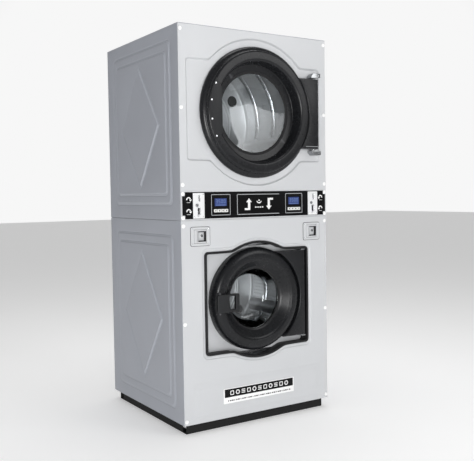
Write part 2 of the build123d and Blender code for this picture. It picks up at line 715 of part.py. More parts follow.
def washer_tub():
    """Outer tub: closed cylinder with a front ring for the gasket and a hole for the shaft."""
    near, far, radius, wall = WASHER_TUB_FRONT, WASHER_TUB_REAR, WASHER_TUB_RADIUS, 3
    tub = rod(0, WASHER_Z, radius, near, far) - rod(0, WASHER_Z, radius - wall, near + wall, far - 6)
    tub -= rod(0, WASHER_Z, 206, near - 1, near + wall + 1)
    return tub - rod(0, WASHER_Z, 30, far - 10, far + 1)


def washer_bearing_housing():
    """Cast housing behind the tub with the long bearing bore."""
    far = WASHER_TUB_REAR
    profile = [(25 + FIT, far), (150, far), (150, far + 10), (85, far + 26), (60, 300), (25 + FIT, 300)]
    housing = turned(profile, WASHER_Z)
    for k in range(6):
        web = block((58, 140), (far + 5, far + 70), (-5, 5))
        web -= Pos(140, far + 72, 0) * Cylinder(62, 20)
        housing += Pos(0, 0, WASHER_Z) * Rot(0, 60 * k, 0) * web
    return housing


def dryer_bearing_housing():
    """Flanged housing on the rear bulkhead with the drum shaft's bearing bore."""
    profile = [(20 + FIT, 273), (95, 273), (95, 283), (55, 290), (45, 312), (20 + FIT, 312)]
    return turned(profile, DRYER_Z)


def dryer_bulkheads():
    """Front and rear walls of the drum chamber."""
    low, high = 1215, 1980
    outline = Pos(0, (low + high) / 2) * Rectangle(812, high - low)
    front = slab(outline, -401, -399) - rod(0, DRYER_Z, DRYER_OPENING + 4, -410, -390)
    rear = slab(outline, 271, 273) - rod(0, DRYER_Z, 32, 260, 280)
    for k in range(5):
        angle = math.radians(200 + 35 * k)
        rear -= rod(215 * math.cos(angle), DRYER_Z + 215 * math.sin(angle), 38, 260, 280)
    rear -= slab(Pos(0, 1895) * Rectangle(300, 90), 260, 280)
    rear -= rod(MOTOR_X, DRYER_MOTOR_Z, 66, 260, 280)
    return union([front, rear])


def dryer_burner_box():
    """Heater box on the rear bulkhead, with slots that let air in at the top."""
    box = block((-205, 205), (273, 415), (1830, 1965)) - block((-203, 203), (270, 413), (1832, 1963))
    for k in range(9):
        box -= block((-170 + 40 * k, -150 + 40 * k), (300, 390), (1955, 1970))
    return box


def dryer_blower_housing():
    """Scroll round the fan wheel with a duct that leads to the exhaust collar."""
    near, far, wall = 342, 421, 1.5

    def solid(shrink):
        scroll = rod(MOTOR_X, DRYER_MOTOR_Z, 118 - shrink, near + shrink, far - shrink)
        return scroll + block((-250 + shrink, MOTOR_X), (near + shrink, far - shrink),
                              (DRYER_MOTOR_Z - 118 + shrink, 1232 - shrink))

    housing = solid(0) - solid(wall)
    housing -= rod(MOTOR_X, DRYER_MOTOR_Z, 60, near - 5, near + 5)
    return housing - rod(*EXHAUST, EXHAUST_RADIUS - 3, far - 5, far + 5)


def dryer_blower_impeller():
    """Fan wheel with a back disc, hub and radial blades."""
    near, far = 350, 410
    wheel = rod(MOTOR_X, DRYER_MOTOR_Z, 95, far - 3, far) + rod(MOTOR_X, DRYER_MOTOR_Z, 22, near + 20, far)
    for k in range(12):
        blade = Rot(0, 0, 30 * k) * Pos(72, 0) * Rot(0, 0, 25) * Rectangle(42, 2.5)
        wheel += slab(Pos(MOTOR_X, DRYER_MOTOR_Z) * blade, near, far - 2)
    return wheel - rod(MOTOR_X, DRYER_MOTOR_Z, 9, near - 1, far + 1)


def lint_screen():
    """Flat slide-in lint tray under the drum."""
    tray = block((-200, 200), (-365, -125), (1104, 1120)) - block((-188, 188), (-353, -137), (1108, 1125))
    return tray - block((-60, 60), (-370, -350), (1110, 1125))


def service_connections():
    """Drain valve, two water inlet valves and the power entry box."""
    start = BACK + 0.3
    x, z = DRAIN
    drain = rod(x, z, 48, 200, 375) + rod(x, z, DRAIN_RADIUS - NECK, 370, BACK + 5)
    drain += rod(x, z, DRAIN_RADIUS, start, BACK + OUTREACH - 2)
    drain -= rod(x, z, DRAIN_RADIUS - NECK - 3, 390, BACK + OUTREACH)
    drain += upright(x, 250, 28, z, WASHER_Z - 329)
    pieces = [drain]
    for x, z in WATER_INLETS:
        valve = block((x - 22, x + 22), (365, 415), (z - 25, z + 25))
        valve += rod(x, z, WATER_RADIUS - NECK, 410, BACK + 5) + rod(x, z, WATER_RADIUS, start, BACK + 25)
        pieces.append(valve + upright(x, 385, 18, z + 20, z + 60))
    x, z = GLAND
    box = block((x - 50, x + 50), (355, BACK - SHEET), (z - 45, z + 45))
    box += rod(x, z, GLAND_RADIUS - NECK, BACK - 3, BACK + 5) + rod(x, z, GLAND_RADIUS, start, BACK + 25)
    pieces.append(box - rod(x, z, CABLE_RADIUS, BACK - 20, BACK + 26))
    return union(pieces)


# ---------------------------------------------------------------- write every sub-part

SIMPLE = [base_plinth, frame, mid_deck, lower_side_panels, upper_side_panels, lower_front_panel,
          upper_front_panel, top_panel, back_panels, control_panel, screw_caps, nameplate,
          coin_acceptors, controllers, coin_vaults, dryer_door_ring, dryer_door_glass,
          dryer_door_handle, dryer_door_hinge_plate, washer_door_ring, washer_door_glass,
          washer_door_handle, washer_door_hinge_plate, door_hinge_brackets, washer_recess_trim,
          washer_recess_panel, washer_door_gasket, dryer_drum, washer_drum, washer_tub,
          washer_bearing_housing, dryer_bearing_housing, dryer_bulkheads, dryer_burner_box,
          dryer_blower_housing, dryer_blower_impeller, lint_screen, service_connections]

for make in SIMPLE:
    save(make.__name__, make())

save("dryer_drum_pulley", pulley(DRYER_PULLEY_RADIUS, 20, 40, 0, DRYER_Z))
save("washer_drum_pulley", pulley(WASHER_PULLEY_RADIUS, 25, 48, 0, WASHER_Z))
save("dryer_motor_pulley", motor_rotor(DRYER_MOTOR_PULLEY_RADIUS, DRYER_MOTOR_Z, 9, 412))
save("washer_motor_pulley", motor_rotor(WASHER_MOTOR_PULLEY_RADIUS, WASHER_MOTOR_Z, 12, 345))
save("dryer_motor", motor(58, DRYER_MOTOR_Z, 95, SEAM_HEIGHT + 2, 9))
save("washer_motor", motor(75, WASHER_MOTOR_Z, 90, PLINTH_HEIGHT + 32, 12))
save("dryer_belt", belt(DRYER_PULLEY_RADIUS, DRYER_MOTOR_PULLEY_RADIUS, DRYER_Z, DRYER_MOTOR_Z))
save("washer_belt", belt(WASHER_PULLEY_RADIUS, WASHER_MOTOR_PULLEY_RADIUS, WASHER_Z, WASHER_MOTOR_Z))

for side, word in ((-1, "left"), (1, "right")):
    save(f"coin_drawer_{word}", coin_drawer(side))
    save(f"coin_lock_{word}", coin_lock(side))
    save(f"reject_button_{word}", reject_button(side))
    for number in range(1, BUTTON_COUNT + 1):
        save(f"{word}_key_{number}", controller_button(side, number))
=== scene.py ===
"""Looks of a stacked coin-operated tumble dryer and washer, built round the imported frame.

The shapes are worked out in millimetres and add() brings each finished piece to metres. +Z is up,
the machine faces -Y, and +X is to the right of a person in front of it.
"""
import json
import math

import bmesh
import bpy
from mathutils import Matrix, Vector


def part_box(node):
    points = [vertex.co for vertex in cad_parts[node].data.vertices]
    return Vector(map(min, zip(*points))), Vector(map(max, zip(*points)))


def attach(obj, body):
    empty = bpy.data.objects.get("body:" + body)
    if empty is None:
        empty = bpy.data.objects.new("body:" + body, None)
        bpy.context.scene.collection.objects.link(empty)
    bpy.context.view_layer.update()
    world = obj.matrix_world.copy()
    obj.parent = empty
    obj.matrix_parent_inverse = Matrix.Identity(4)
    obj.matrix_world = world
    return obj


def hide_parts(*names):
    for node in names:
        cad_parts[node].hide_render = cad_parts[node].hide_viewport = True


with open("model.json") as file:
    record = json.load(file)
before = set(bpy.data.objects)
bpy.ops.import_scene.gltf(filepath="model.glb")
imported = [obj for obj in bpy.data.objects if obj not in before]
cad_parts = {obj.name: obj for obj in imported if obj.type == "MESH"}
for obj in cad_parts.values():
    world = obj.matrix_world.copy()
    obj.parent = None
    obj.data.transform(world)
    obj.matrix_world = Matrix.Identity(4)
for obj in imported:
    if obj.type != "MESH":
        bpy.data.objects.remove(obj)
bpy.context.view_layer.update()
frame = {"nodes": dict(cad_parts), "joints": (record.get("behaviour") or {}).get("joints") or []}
NODES = frame["nodes"]
MM = 0.001

# ---------------------------------------------------------------- sizes read from the frame


def box(node):
    """Low and high corner of a CAD node, in millimetres."""
    low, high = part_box(node)
    return Vector(low) / MM, Vector(high) / MM


def middle(node):
    """Middle of a CAD node's box, in millimetres."""
    low, high = box(node)
    return (low + high) / 2


def joint_place(name):
    """Place of a joint, in millimetres."""
    return Vector(next(joint for joint in frame["joints"] if joint["name"] == name)["pos_m"]) / MM


CABINET_LOW, CABINET_HIGH = box("back_panels")
SIDE = CABINET_HIGH.x
FRONT = box("lower_front_panel")[0].y + 5
BACK = -FRONT
BOTTOM = CABINET_LOW.z
TOP = box("top_panel")[1].z
SEAM = box("mid_deck")[0].z
BAND_TOP = box("upper_front_panel")[0].z
SHEET = 1.5
DRYER_Z = middle("dryer_door_ring").z
DRYER_DOOR = box("dryer_door_ring")[1].x
WASHER_Z = middle("washer_door_glass").z
WASHER_DOOR = box("washer_door_ring")[1].x
DRYER_HINGE = joint_place("dryer_door_hinge")
WASHER_HINGE = joint_place("washer_door_hinge")
HANDLE_PIVOT = joint_place("washer_handle_pivot")
WORDS = (("left", -1), ("right", 1))


def out(height):
    """Depth of a point that stands this far in front of the front sheet."""
    return FRONT - height


# ---------------------------------------------------------------- materials


def shader_node(tree, kind, **values):
    """New node with its sockets set. An underline in a socket's name stands for a space."""
    node = tree.nodes.new(kind)
    fill_sockets(node, values)
    return node


def fill_sockets(node, values):
    for socket, value in values.items():
        node.inputs[socket.replace("_", " ")].default_value = value


def finish(name, color, rough, metal=0.0, spread=0.05, cloud=5.0, grain=900.0, depth=0.00005,
           rough_spread=0.06, stretch=(1, 1, 1), specular=0.5, coat=0.0, wear=None, **sockets):
    """Procedural surface: soft colour clouds, fine relief, uneven gloss and optional edge wear."""
    material = bpy.data.materials.new(name)
    material.use_nodes = True
    tree = material.node_tree
    link = tree.links.new
    shader = tree.nodes["Principled BSDF"]
    fill_sockets(shader, {"Metallic": metal, "Specular IOR Level": specular, "Coat Weight": coat} | sockets)
    place = shader_node(tree, "ShaderNodeTexCoord")
    mapping = shader_node(tree, "ShaderNodeMapping", Scale=stretch)
    link(place.outputs["Object"], mapping.inputs["Vector"])

    def noise(scale, detail):
        texture = shader_node(tree, "ShaderNodeTexNoise", Scale=scale, Detail=detail)
        link(mapping.outputs["Vector"], texture.inputs["Vector"])
        return texture.outputs["Fac"]

    clouds = shader_node(tree, "ShaderNodeValToRGB")
    for element, spot, share in zip(clouds.color_ramp.elements, (0.3, 0.7), (1 - spread, 1 + spread)):
        element.position = spot
        element.color = (*[min(1, channel * share) for channel in color], 1)
    link(noise(cloud, 4), clouds.inputs["Fac"])
    shade = clouds.outputs["Color"]
    if wear:
        edge = shader_node(tree, "ShaderNodeNewGeometry")
        edges = shader_node(tree, "ShaderNodeValToRGB")
        for element, spot in zip(edges.color_ramp.elements, (0.52, 0.60)):
            element.position = spot
        link(edge.outputs["Pointiness"], edges.inputs["Fac"])
        mix = shader_node(tree, "ShaderNodeMix")
        mix.data_type = "RGBA"
        link(edges.outputs["Color"], mix.inputs["Factor"])
        link(shade, mix.inputs["A"])
        mix.inputs["B"].default_value = (*wear, 1)
        shade = mix.outputs["Result"]
    link(shade, shader.inputs["Base Color"])
    gloss = shader_node(tree, "ShaderNodeMapRange", To_Min=max(0.0, rough - rough_spread),
                        To_Max=min(1.0, rough + rough_spread))
    link(noise(cloud * 4, 3), gloss.inputs["Value"])
    link(gloss.outputs["Result"], shader.inputs["Roughness"])
    relief = shader_node(tree, "ShaderNodeBump", Distance=depth, Strength=0.6)
    link(noise(grain, 2), relief.inputs["Height"])
    link(relief.outputs["Normal"], shader.inputs["Normal"])
    return material


def clear_glass(name, tint):
    """Clear pane: mostly see-through, mirroring more where it is seen at a slant, with a faint film."""
    material = finish(name, (0.95, 0.96, 0.97), 0.03, metal=1.0, spread=0.02, rough_spread=0.015,
                      depth=0.0, cloud=3.0)
    tree = material.node_tree
    clear = shader_node(tree, "ShaderNodeBsdfTransparent", Color=(*tint, 1))
    slant = shader_node(tree, "ShaderNodeFresnel", IOR=1.42)
    mix = shader_node(tree, "ShaderNodeMixShader")
    tree.links.new(slant.outputs["Fac"], mix.inputs["Fac"])
    tree.links.new(clear.outputs["BSDF"], mix.inputs[1])
    tree.links.new(tree.nodes["Principled BSDF"].outputs["BSDF"], mix.inputs[2])
    tree.links.new(mix.outputs["Shader"], tree.nodes["Material Output"].inputs["Surface"])
    return material


WHITE = finish("white_enamel", (0.55, 0.56, 0.575), 0.36, spread=0.012, grain=1100, depth=0.00004,
               coat=0.15, Coat_Roughness=0.25)
# Blue-grey paint of the sides and top. Its tint is the paint's own, but its darkness is partly painted
# shade for the side faces, which get less light.
GREY_PAINT_AND_SHADE = finish("grey_enamel_and_painted_shade", (0.375, 0.392, 0.435), 0.42, spread=0.02, grain=1100, depth=0.00005)
BLACK = finish("black_moulding", (0.010, 0.0105, 0.012), 0.27, spread=0.15, grain=1600, depth=0.00003,
               specular=0.28, wear=(0.05, 0.05, 0.055))
BLACK_SATIN = finish("black_satin_plate", (0.014, 0.0145, 0.016), 0.42, spread=0.15, grain=2200,
                     depth=0.00003, specular=0.3)
OVERLAY = finish("black_overlay", (0.004, 0.004, 0.0045), 0.2, spread=0.1, grain=2500, depth=0.00001,
                 specular=0.15)
PLINTH = finish("black_plinth_paint", (0.006, 0.006, 0.007), 0.5, spread=0.2, grain=700, depth=0.0001,
                specular=0.04, wear=(0.02, 0.02, 0.02))
RUBBER = finish("black_rubber", (0.009, 0.009, 0.010), 0.55, spread=0.2, grain=1500, depth=0.00006,
                specular=0.3)
STEEL = finish("brushed_stainless", (0.60, 0.61, 0.63), 0.26, metal=1.0, spread=0.06, cloud=9, grain=1400,
               depth=0.00003, stretch=(1, 0.05, 1))
DRUM_STEEL = finish("drum_stainless", (0.62, 0.625, 0.635), 0.44, metal=0.75, cloud=7, depth=0.00004,
                    stretch=(1, 0.1, 1))
ZINC = finish("galvanised_sheet", (0.50, 0.52, 0.54), 0.38, metal=0.9, spread=0.16, cloud=60, grain=300,
              depth=0.00003, rough_spread=0.12)
CHROME = finish("chrome_plate", (0.33, 0.34, 0.35), 0.22, metal=1.0, spread=0.03, cloud=20, grain=600,
                depth=0.00001)
SCREW = finish("plated_screw", (0.75, 0.76, 0.78), 0.22, metal=1.0, cloud=80, depth=0.00001)
CAP = finish("white_cap_plastic", (0.86, 0.86, 0.86), 0.3, spread=0.01, cloud=20, depth=0.00002)
KEY = finish("white_key_plastic", (0.80, 0.80, 0.78), 0.4, spread=0.02, cloud=20, grain=2500, depth=0.00002)
INK = finish("white_print", (0.78, 0.78, 0.78), 0.5, spread=0.02, cloud=30, depth=0.00001)
LINE_INK = finish("grey_print", (0.30, 0.31, 0.32), 0.5, spread=0.03, cloud=30, depth=0.00001)
COIN_WHITE = finish("coin_plate_enamel", (0.74, 0.745, 0.75), 0.3, spread=0.02, cloud=14, grain=1500,
                    depth=0.00002)
DARK = finish("dark_recess", (0.012, 0.012, 0.013), 0.6, spread=0.1, cloud=20, depth=0.00002, specular=0.2)
CAST = finish("cast_iron_paint", (0.09, 0.095, 0.10), 0.6, spread=0.15, cloud=30, grain=240, depth=0.0004)
ALLOY = finish("machined_aluminium", (0.62, 0.63, 0.65), 0.3, metal=1.0, cloud=20, grain=700, depth=0.00003)
MOTOR = finish("motor_enamel", (0.035, 0.06, 0.10), 0.45, spread=0.1, cloud=14, grain=500, depth=0.0001)
LCD = finish("blue_display", (0.018, 0.036, 0.15), 0.3, spread=0.08, cloud=30, depth=0.00001,
             Emission_Color=(0.05, 0.10, 0.36, 1), Emission_Strength=0.08)
DIGIT = finish("display_segments", (0.16, 0.24, 0.45), 0.4, spread=0.03, cloud=30, depth=0.00001,
               Emission_Color=(0.4, 0.6, 0.9, 1), Emission_Strength=0.05)
GLASS = clear_glass("door_glass", (0.95, 0.965, 0.97))
FLOOR = finish("pale_studio_floor", (0.86, 0.86, 0.86), 0.7, spread=0.01, cloud=2, grain=60, depth=0.0001,
               specular=0.2, Emission_Color=(1, 1, 1, 1), Emission_Strength=0.30)

# ---------------------------------------------------------------- mesh helpers


def add(name, shape, material, body, *nodes, sharp=34):
    """Links a mesh, or a list of them, as a piece that rides on a body and stands for CAD nodes."""
    mesh = joined(shape) if isinstance(shape, list) else shape
    mesh.transform(Matrix.Scale(MM, 4))
    mesh.materials.clear()
    mesh.materials.append(material)
    piece = bpy.data.objects.new(name, mesh)
    bpy.context.scene.collection.objects.link(piece)
    for polygon in mesh.polygons:
        polygon.use_smooth = True
    mesh.set_sharp_from_angle(angle=math.radians(sharp))
    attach(piece, body)
    if nodes:
        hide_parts(*nodes)
    return piece


def mesh_of(points, faces):
    """Mesh from points and faces, without faces that use a point twice."""
    mesh = bpy.data.meshes.new("shape")
    mesh.from_pydata([tuple(p) for p in points], [], faces)
    mesh.validate()
    return mesh


def outward(mesh, merge=0.0):
    """Turns every face of a closed mesh to the outside, after joining points closer than merge."""
    work = bmesh.new()
    work.from_mesh(mesh)
    if merge:
        bmesh.ops.remove_doubles(work, verts=work.verts, dist=merge)
    bmesh.ops.recalc_face_normals(work, faces=work.faces)
    work.to_mesh(mesh)
    work.free()
    return mesh


def grid(rows, columns, around=True, closed=False):
    """Faces over rows of points. around joins the ends of each row, closed the last row to the first."""
    faces = []
    for row in range(rows if closed else rows - 1):
        here, beyond = row * columns, (row + 1) % rows * columns
        for k in range(columns if around else columns - 1):
            after = (k + 1) % columns
            faces.append((here + k, here + after, beyond + after, beyond + k))
    return faces


def prism(outline, low, high):
    """Upright prism from a closed (x, y) path, between two heights."""
    points = [(x, y, z) for z in (low, high) for x, y in outline]
    count = len(outline)
    ends = [tuple(range(count)), tuple(range(2 * count - 1, count - 1, -1))]
    return outward(mesh_of(points, ends + grid(2, count)))


def soften(points, radius, steps=5, closed=True):
    """Rounds the corners of a path. radius is one number or one for each point."""
    count = len(points)
    radii = radius if isinstance(radius, (list, tuple)) else [radius] * count
    path = []
    for i, point in enumerate(points):
        if not closed and i in (0, count - 1):
            path.append(tuple(point))
            continue
        here, before, after = Vector(point), Vector(points[i - 1]), Vector(points[(i + 1) % count])
        back, ahead = before - here, after - here
        reach = min(radii[i], back.length * 0.48, ahead.length * 0.48)
        if reach < 0.01:
            path.append(tuple(point))
            continue
        start, end = here + back.normalized() * reach, here + ahead.normalized() * reach
        for k in range(steps + 1):
            t = k / steps
            path.append(tuple(start * (1 - t) ** 2 + here * 2 * t * (1 - t) + end * t ** 2))
    return path


def lathe(profile, x, z, segments=144):
    """Closed body of revolution about a line along Y, from a closed (radius, y) path."""
    points = []
    for s in range(segments):
        angle = 2 * math.pi * s / segments
        points += [(x + radius * math.cos(angle), y, z + radius * math.sin(angle)) for radius, y in profile]
    return outward(mesh_of(points, grid(segments, len(profile), closed=True)), 0.001)


def standing_out(pairs):
    """Turns (radius, height in front of the front sheet) into (radius, y)."""
    return [(radius, out(height)) for radius, height in pairs]


def plate(outlines, y_front, y_back, bevel=0.0, steps=2):
    """Flat plate with rounded edges. outlines are closed (x, z) paths: the edge, then any holes."""
    curve = bpy.data.curves.new("plate", "CURVE")
    curve.dimensions = "2D"
    curve.fill_mode = "BOTH"
    for outline in outlines:
        spline = curve.splines.new("POLY")
        spline.points.add(len(outline) - 1)
        for point, (x, z) in zip(spline.points, outline):
            point.co = (x, z, 0, 1)
        spline.use_cyclic_u = True
    curve.extrude = max((y_back - y_front) / 2 - bevel, 0.01)
    curve.bevel_depth = bevel
    curve.offset = -bevel
    curve.bevel_resolution = steps
    holder = bpy.data.objects.new("plate", curve)
    mesh = bpy.data.meshes.new_from_object(holder)
    bpy.data.objects.remove(holder)
    bpy.data.curves.remove(curve)
    upright = Matrix(((1, 0, 0, 0), (0, 0, -1, (y_front + y_back) / 2), (0, 1, 0, 0), (0, 0, 0, 1)))
    mesh.transform(upright)
    return outward(mesh, 0.001)


def joined(meshes):
    """One mesh from several."""
    work = bmesh.new()
    for mesh in meshes:
        work.from_mesh(mesh)
    result = bpy.data.meshes.new("joined")
    work.to_mesh(result)
    work.free()
    return result


def modified(mesh, kind, **settings):
    """The mesh as one modifier leaves it."""
    holder = bpy.data.objects.new("holder", mesh)
    bpy.context.scene.collection.objects.link(holder)
    change = holder.modifiers.new("change", kind)
    for setting, value in settings.items():
        setattr(change, setting, value)
    bpy.context.view_layer.update()
    result = bpy.data.meshes.new_from_object(holder.evaluated_get(bpy.context.evaluated_depsgraph_get()))
    bpy.data.objects.remove(holder)
    return result


def thick(mesh, thickness):
    """Gives a sheet its thickness, away from its outer face."""
    return modified(mesh, "SOLIDIFY", thickness=thickness, offset=-1)


def cut(mesh, cutters):
    """Mesh with the cutter meshes taken out of it."""
    tool = bpy.data.objects.new("tool", joined(cutters))
    bpy.context.scene.collection.objects.link(tool)
    result = modified(mesh, "BOOLEAN", operation="DIFFERENCE", solver="EXACT", object=tool)
    bpy.data.objects.remove(tool)
    return result


def rectangle(x, z, width, height, radius, steps=5):
    """Rounded rectangle as a closed (x, z) path."""
    w, h = width / 2, height / 2
    corners = [(x - w, z - h), (x + w, z - h), (x + w, z + h), (x - w, z + h)]
    return soften(corners, radius, steps)


def arc(x, z, radius, start, end, count):
    """Points along an arc between two angles."""
    angles = [start + (end - start) * k / count for k in range(count + 1)]
    return [(x + radius * math.cos(angle), z + radius * math.sin(angle)) for angle in angles]


def disc(x, z, radius, count=32):
    return arc(x, z, radius, 0, 2 * math.pi, count)[:-1]


def front_of(node, radius, steps=5):
    """Rounded rectangle with the width and height of a CAD node."""
    low, high = box(node)
    return rectangle((low.x + high.x) / 2, (low.z + high.z) / 2, high.x - low.x, high.z - low.z, radius,
                     steps)


def screw(x, z, y, radius, height):
    """Pan head with a hexagon socket, seated on a surface at depth y and facing -Y."""
    head = soften([(0.45 * radius, y), (radius, y), (radius, y - 0.45 * height),
                   (0.7 * radius, y - height), (0.45 * radius, y - height)],
                  [0, 0.1 * radius, 0.5 * radius, 0.2 * radius, 0], 3)
    ring = lathe(head, x, z, 24)
    floor = lathe([(0, y), (0.5 * radius, y), (0.5 * radius, y - 0.35 * height), (0, y - 0.35 * height)],
                  x, z, 6)
    return joined([ring, floor])


# ---------------------------------------------------------------- pressed sheets


def box_reach(angle, left, right, low, high):
    """Distance from the origin to the edge of a rectangle, in a direction."""
    c, s = math.cos(angle), math.sin(angle)
    across = right / c if c > 1e-9 else (left / c if c < -1e-9 else 1e9)
    up = high / s if s > 1e-9 else (low / s if s < -1e-9 else 1e9)
    return min(across, up)


def round_reach(angle, half_width, half_height, radius):
    """Distance from the centre to the edge of a rounded rectangle."""
    c, s = abs(math.cos(angle)), abs(math.sin(angle))
    a, b = half_width - radius, half_height - radius
    if c > 1e-9 and half_width / c * s <= b:
        return half_width / c
    if s > 1e-9 and half_height / s * c <= a:
        return half_height / s
    along = a * c + b * s
    return along + math.sqrt(max(0.0, along ** 2 - a ** 2 - b ** 2 + radius ** 2))


def porthole_reach(angle, half_width, half_height, corner, radius, blend=9):
    """Rounded rectangle joined with a circle, with the inner corners eased."""
    square = round_reach(angle, half_width, half_height, corner)
    return (square + radius + math.sqrt((square - radius) ** 2 + blend ** 2)) / 2


def ease(t):
    return t * t * (3 - 2 * t)


def press_steps(reach, slope, depth, start_depth=0.0, count=6, groove=0.0):
    """Rings down or up the sloping wall of a pressing, with a groove along its foot if asked."""
    rings = []
    if groove:
        for away, share in ((11, 0), (10, 0.1), (8, 0.9), (7, 1), (6, 0.9), (4, 0.1), (3, 0)):
            rings.append((lambda angle, away=away: reach(angle, -away), start_depth + groove * share))
    rings.append((lambda angle: reach(angle, -0.15 * slope), start_depth))
    for k in range(count + 1):
        t = k / count
        rings.append((lambda angle, t=t: reach(angle, t * slope), start_depth + depth * ease(t)))
    return rings + [(lambda angle: reach(angle, 1.15 * slope), start_depth + depth)]


def pressed_sheet(centre, rings, angles, place):
    """Sheet made of rings round a centre. place turns (u, v, depth) into a point in space."""
    points = []
    for reach, depth in rings:
        for angle in angles:
            away = reach(angle)
            u, v = centre[0] + away * math.cos(angle), centre[1] + away * math.sin(angle)
            points.append(place(u, v, depth))
    return mesh_of(points, grid(len(rings), len(angles)))


def facing_out(mesh, direction):
    """Turns an open sheet so that its faces look along a direction on the whole."""
    total = Vector()
    for polygon in mesh.polygons:
        total += polygon.normal * polygon.area
    if total.dot(Vector(direction)) < 0:
        mesh.flip_normals()
    return mesh


def even_angles(count, *extra):
    """Even steps round a full turn, with some exact angles added."""
    even = {2 * math.pi * k / count for k in range(count)}
    return sorted(even | {angle % (2 * math.pi) for angle in extra})


def corner_angles(left, right, low, high):
    return [math.atan2(v, u) for u in (left, right) for v in (low, high)]


def bordered(left, right, low, high, fold, edge=1.5):
    """Rings for the folded and rounded edge of a sheet: fold, bend, then the flat face."""
    def inset(amount):
        return lambda angle: box_reach(angle, left + amount, right - amount, low + amount, high - amount)
    rings = [(inset(0), fold), (inset(0), edge)]
    rings += [(inset(edge * (1 - math.cos(t))), edge * (1 - math.sin(t))) for t in (0.5, 1.05, math.pi / 2)]
    return rings + [(inset(edge + 1), 0.0)]


# ---------------------------------------------------------------- cabinet


def side_panels():
    """Sheets with two stepped rectangles and a diamond, all raised with soft slopes."""
    low_y, high_y = FRONT + 2.5, BACK - 2.5
    slope, step, rise, groove = 7, 3, 5, 1.8
    heights = {"lower_side_panels": (BOTTOM, SEAM - 1, 551.5, 426.5, 326),
               "upper_side_panels": (SEAM + 1, TOP - 2.5, 1535.5, 397.5, 307)}
    for node, (z_low, z_high, z_mid, half, tall) in heights.items():
        centre = (0.0, z_mid)
        edges = (low_y, high_y, z_low - centre[1], z_high - centre[1])

        def wide(angle, inset):
            return round_reach(angle, 335 - inset, half - inset, 30)

        def narrow(angle, inset):
            return round_reach(angle, 295 - inset, half - 48 - inset, 24)

        def diamond(angle, inset):
            across, up = 220 - inset * 1.3, tall - inset * 1.7
            return 1 / (abs(math.cos(angle)) / across + abs(math.sin(angle)) / up)

        rings = bordered(*edges, 16)
        rings += press_steps(wide, slope, -step, groove=groove)
        rings += press_steps(narrow, slope, -step, -step, groove=groove)
        rings += press_steps(diamond, slope, -rise, -2 * step, groove=groove)
        rings += [(lambda angle, k=k: diamond(angle, slope) * k, -2 * step - rise)
                  for k in (0.9, 0.5, 0.02, 0.0001)]
        angles = even_angles(480, *corner_angles(*edges), 0, math.pi / 2, math.pi, 3 * math.pi / 2)
        sheets = []
        for side in (-1, 1):
            mesh = pressed_sheet(centre, rings, angles, lambda u, v, depth: (side * (SIDE - depth), u, v))
            sheets.append(thick(facing_out(mesh, (side, 0, 0)), SHEET))
        add(f"{node}_pressed", sheets, GREY_PAINT_AND_SHADE, "cabinet", node, sharp=40)


def front_place(u, v, depth):
    return (u, FRONT + depth, v)


def upper_front():
    """Front sheet of the dryer with a dish round the door."""
    centre = (0.0, DRYER_Z)
    edges = (-SIDE, SIDE, BAND_TOP - DRYER_Z, TOP - 2.5 - DRYER_Z)

    def dish(angle, inset):
        return porthole_reach(angle, 411 - inset, 250 - inset, 14, 374 - inset)

    depth = 10
    rings = bordered(*edges, 3) + press_steps(dish, 10, depth, count=8)
    mouth = 292
    rim = ((mouth + 6, 0), (mouth + 2, 1), (mouth, 3), (mouth, 8))
    rings += [(lambda angle, r=r: r, depth + d) for r, d in rim]
    mesh = pressed_sheet(centre, rings, even_angles(600, *corner_angles(*edges)), front_place)
    add("upper_front_sheet", thick(facing_out(mesh, (0, -1, 0)), SHEET), WHITE, "cabinet",
        "upper_front_panel", sharp=40)


def lower_front():
    """Front sheet of the washer: stepped opening, raised skirt and two openings for the coin vaults."""
    split = 262
    centre = (0.0, WASHER_Z)
    edges = (-SIDE, SIDE, split - WASHER_Z, SEAM - 1 - WASHER_Z)

    def flat_border(angle, inset=0.0):
        return box_reach(angle, edges[0] + inset, edges[1] - inset, edges[2], edges[3] - inset)

    def step(angle, inset):
        return porthole_reach(angle, 339 - inset, 280 - inset, 30, 320 - inset)

    def mouth(angle, inset):
        return porthole_reach(angle, 321 - inset, 260 - inset, 20, 303 - inset)

    rings = [(flat_border, 1.5), (lambda angle: flat_border(angle, 1.5), 0),
             (lambda angle: flat_border(angle, 3), 0)]
    rings += press_steps(step, 8, 5)
    rings += [(lambda angle: mouth(angle, -2), 5), (lambda angle: mouth(angle, 0), 6.5),
              (lambda angle: mouth(angle, 0), 12)]
    upper = pressed_sheet(centre, rings, even_angles(600, *corner_angles(*edges)), front_place)
    skirt_z = 169
    skirt_edges = (-SIDE, SIDE, BOTTOM - skirt_z, split - skirt_z)

    def skirt_border(angle, inset=0.0):
        return box_reach(angle, skirt_edges[0] + inset, skirt_edges[1] - inset, skirt_edges[2] + inset,
                         skirt_edges[3])

    def skirt(angle, t):
        return round_reach(angle, 395 - 30 * t, 81 - 26 * t, 12)

    rings = [(skirt_border, 1.5), (lambda angle: skirt_border(angle, 1.5), 0.0)]
    rings += press_steps(skirt, 1.0, -5, count=1)
    rings += [(lambda angle, k=k: skirt(angle, 1) * k, -5) for k in (0.9, 0.5, 0.02, 0.0001)]
    angles = even_angles(360, *corner_angles(*skirt_edges))
    lower = pressed_sheet((0.0, skirt_z), rings, angles, front_place)
    parts = [thick(facing_out(part, (0, -1, 0)), SHEET) for part in (upper, lower)]
    vault_x, vault_z = middle("coin_drawer_right").x, middle("coin_vaults").z
    holes = [plate([rectangle(vault_x * side, vault_z, 76, 74, 1, 1)], out(10), out(-10))
             for _, side in WORDS]
    parts[0] = cut(parts[0], holes)
    add("lower_front_sheet", parts, WHITE, "cabinet", "lower_front_panel", sharp=40)


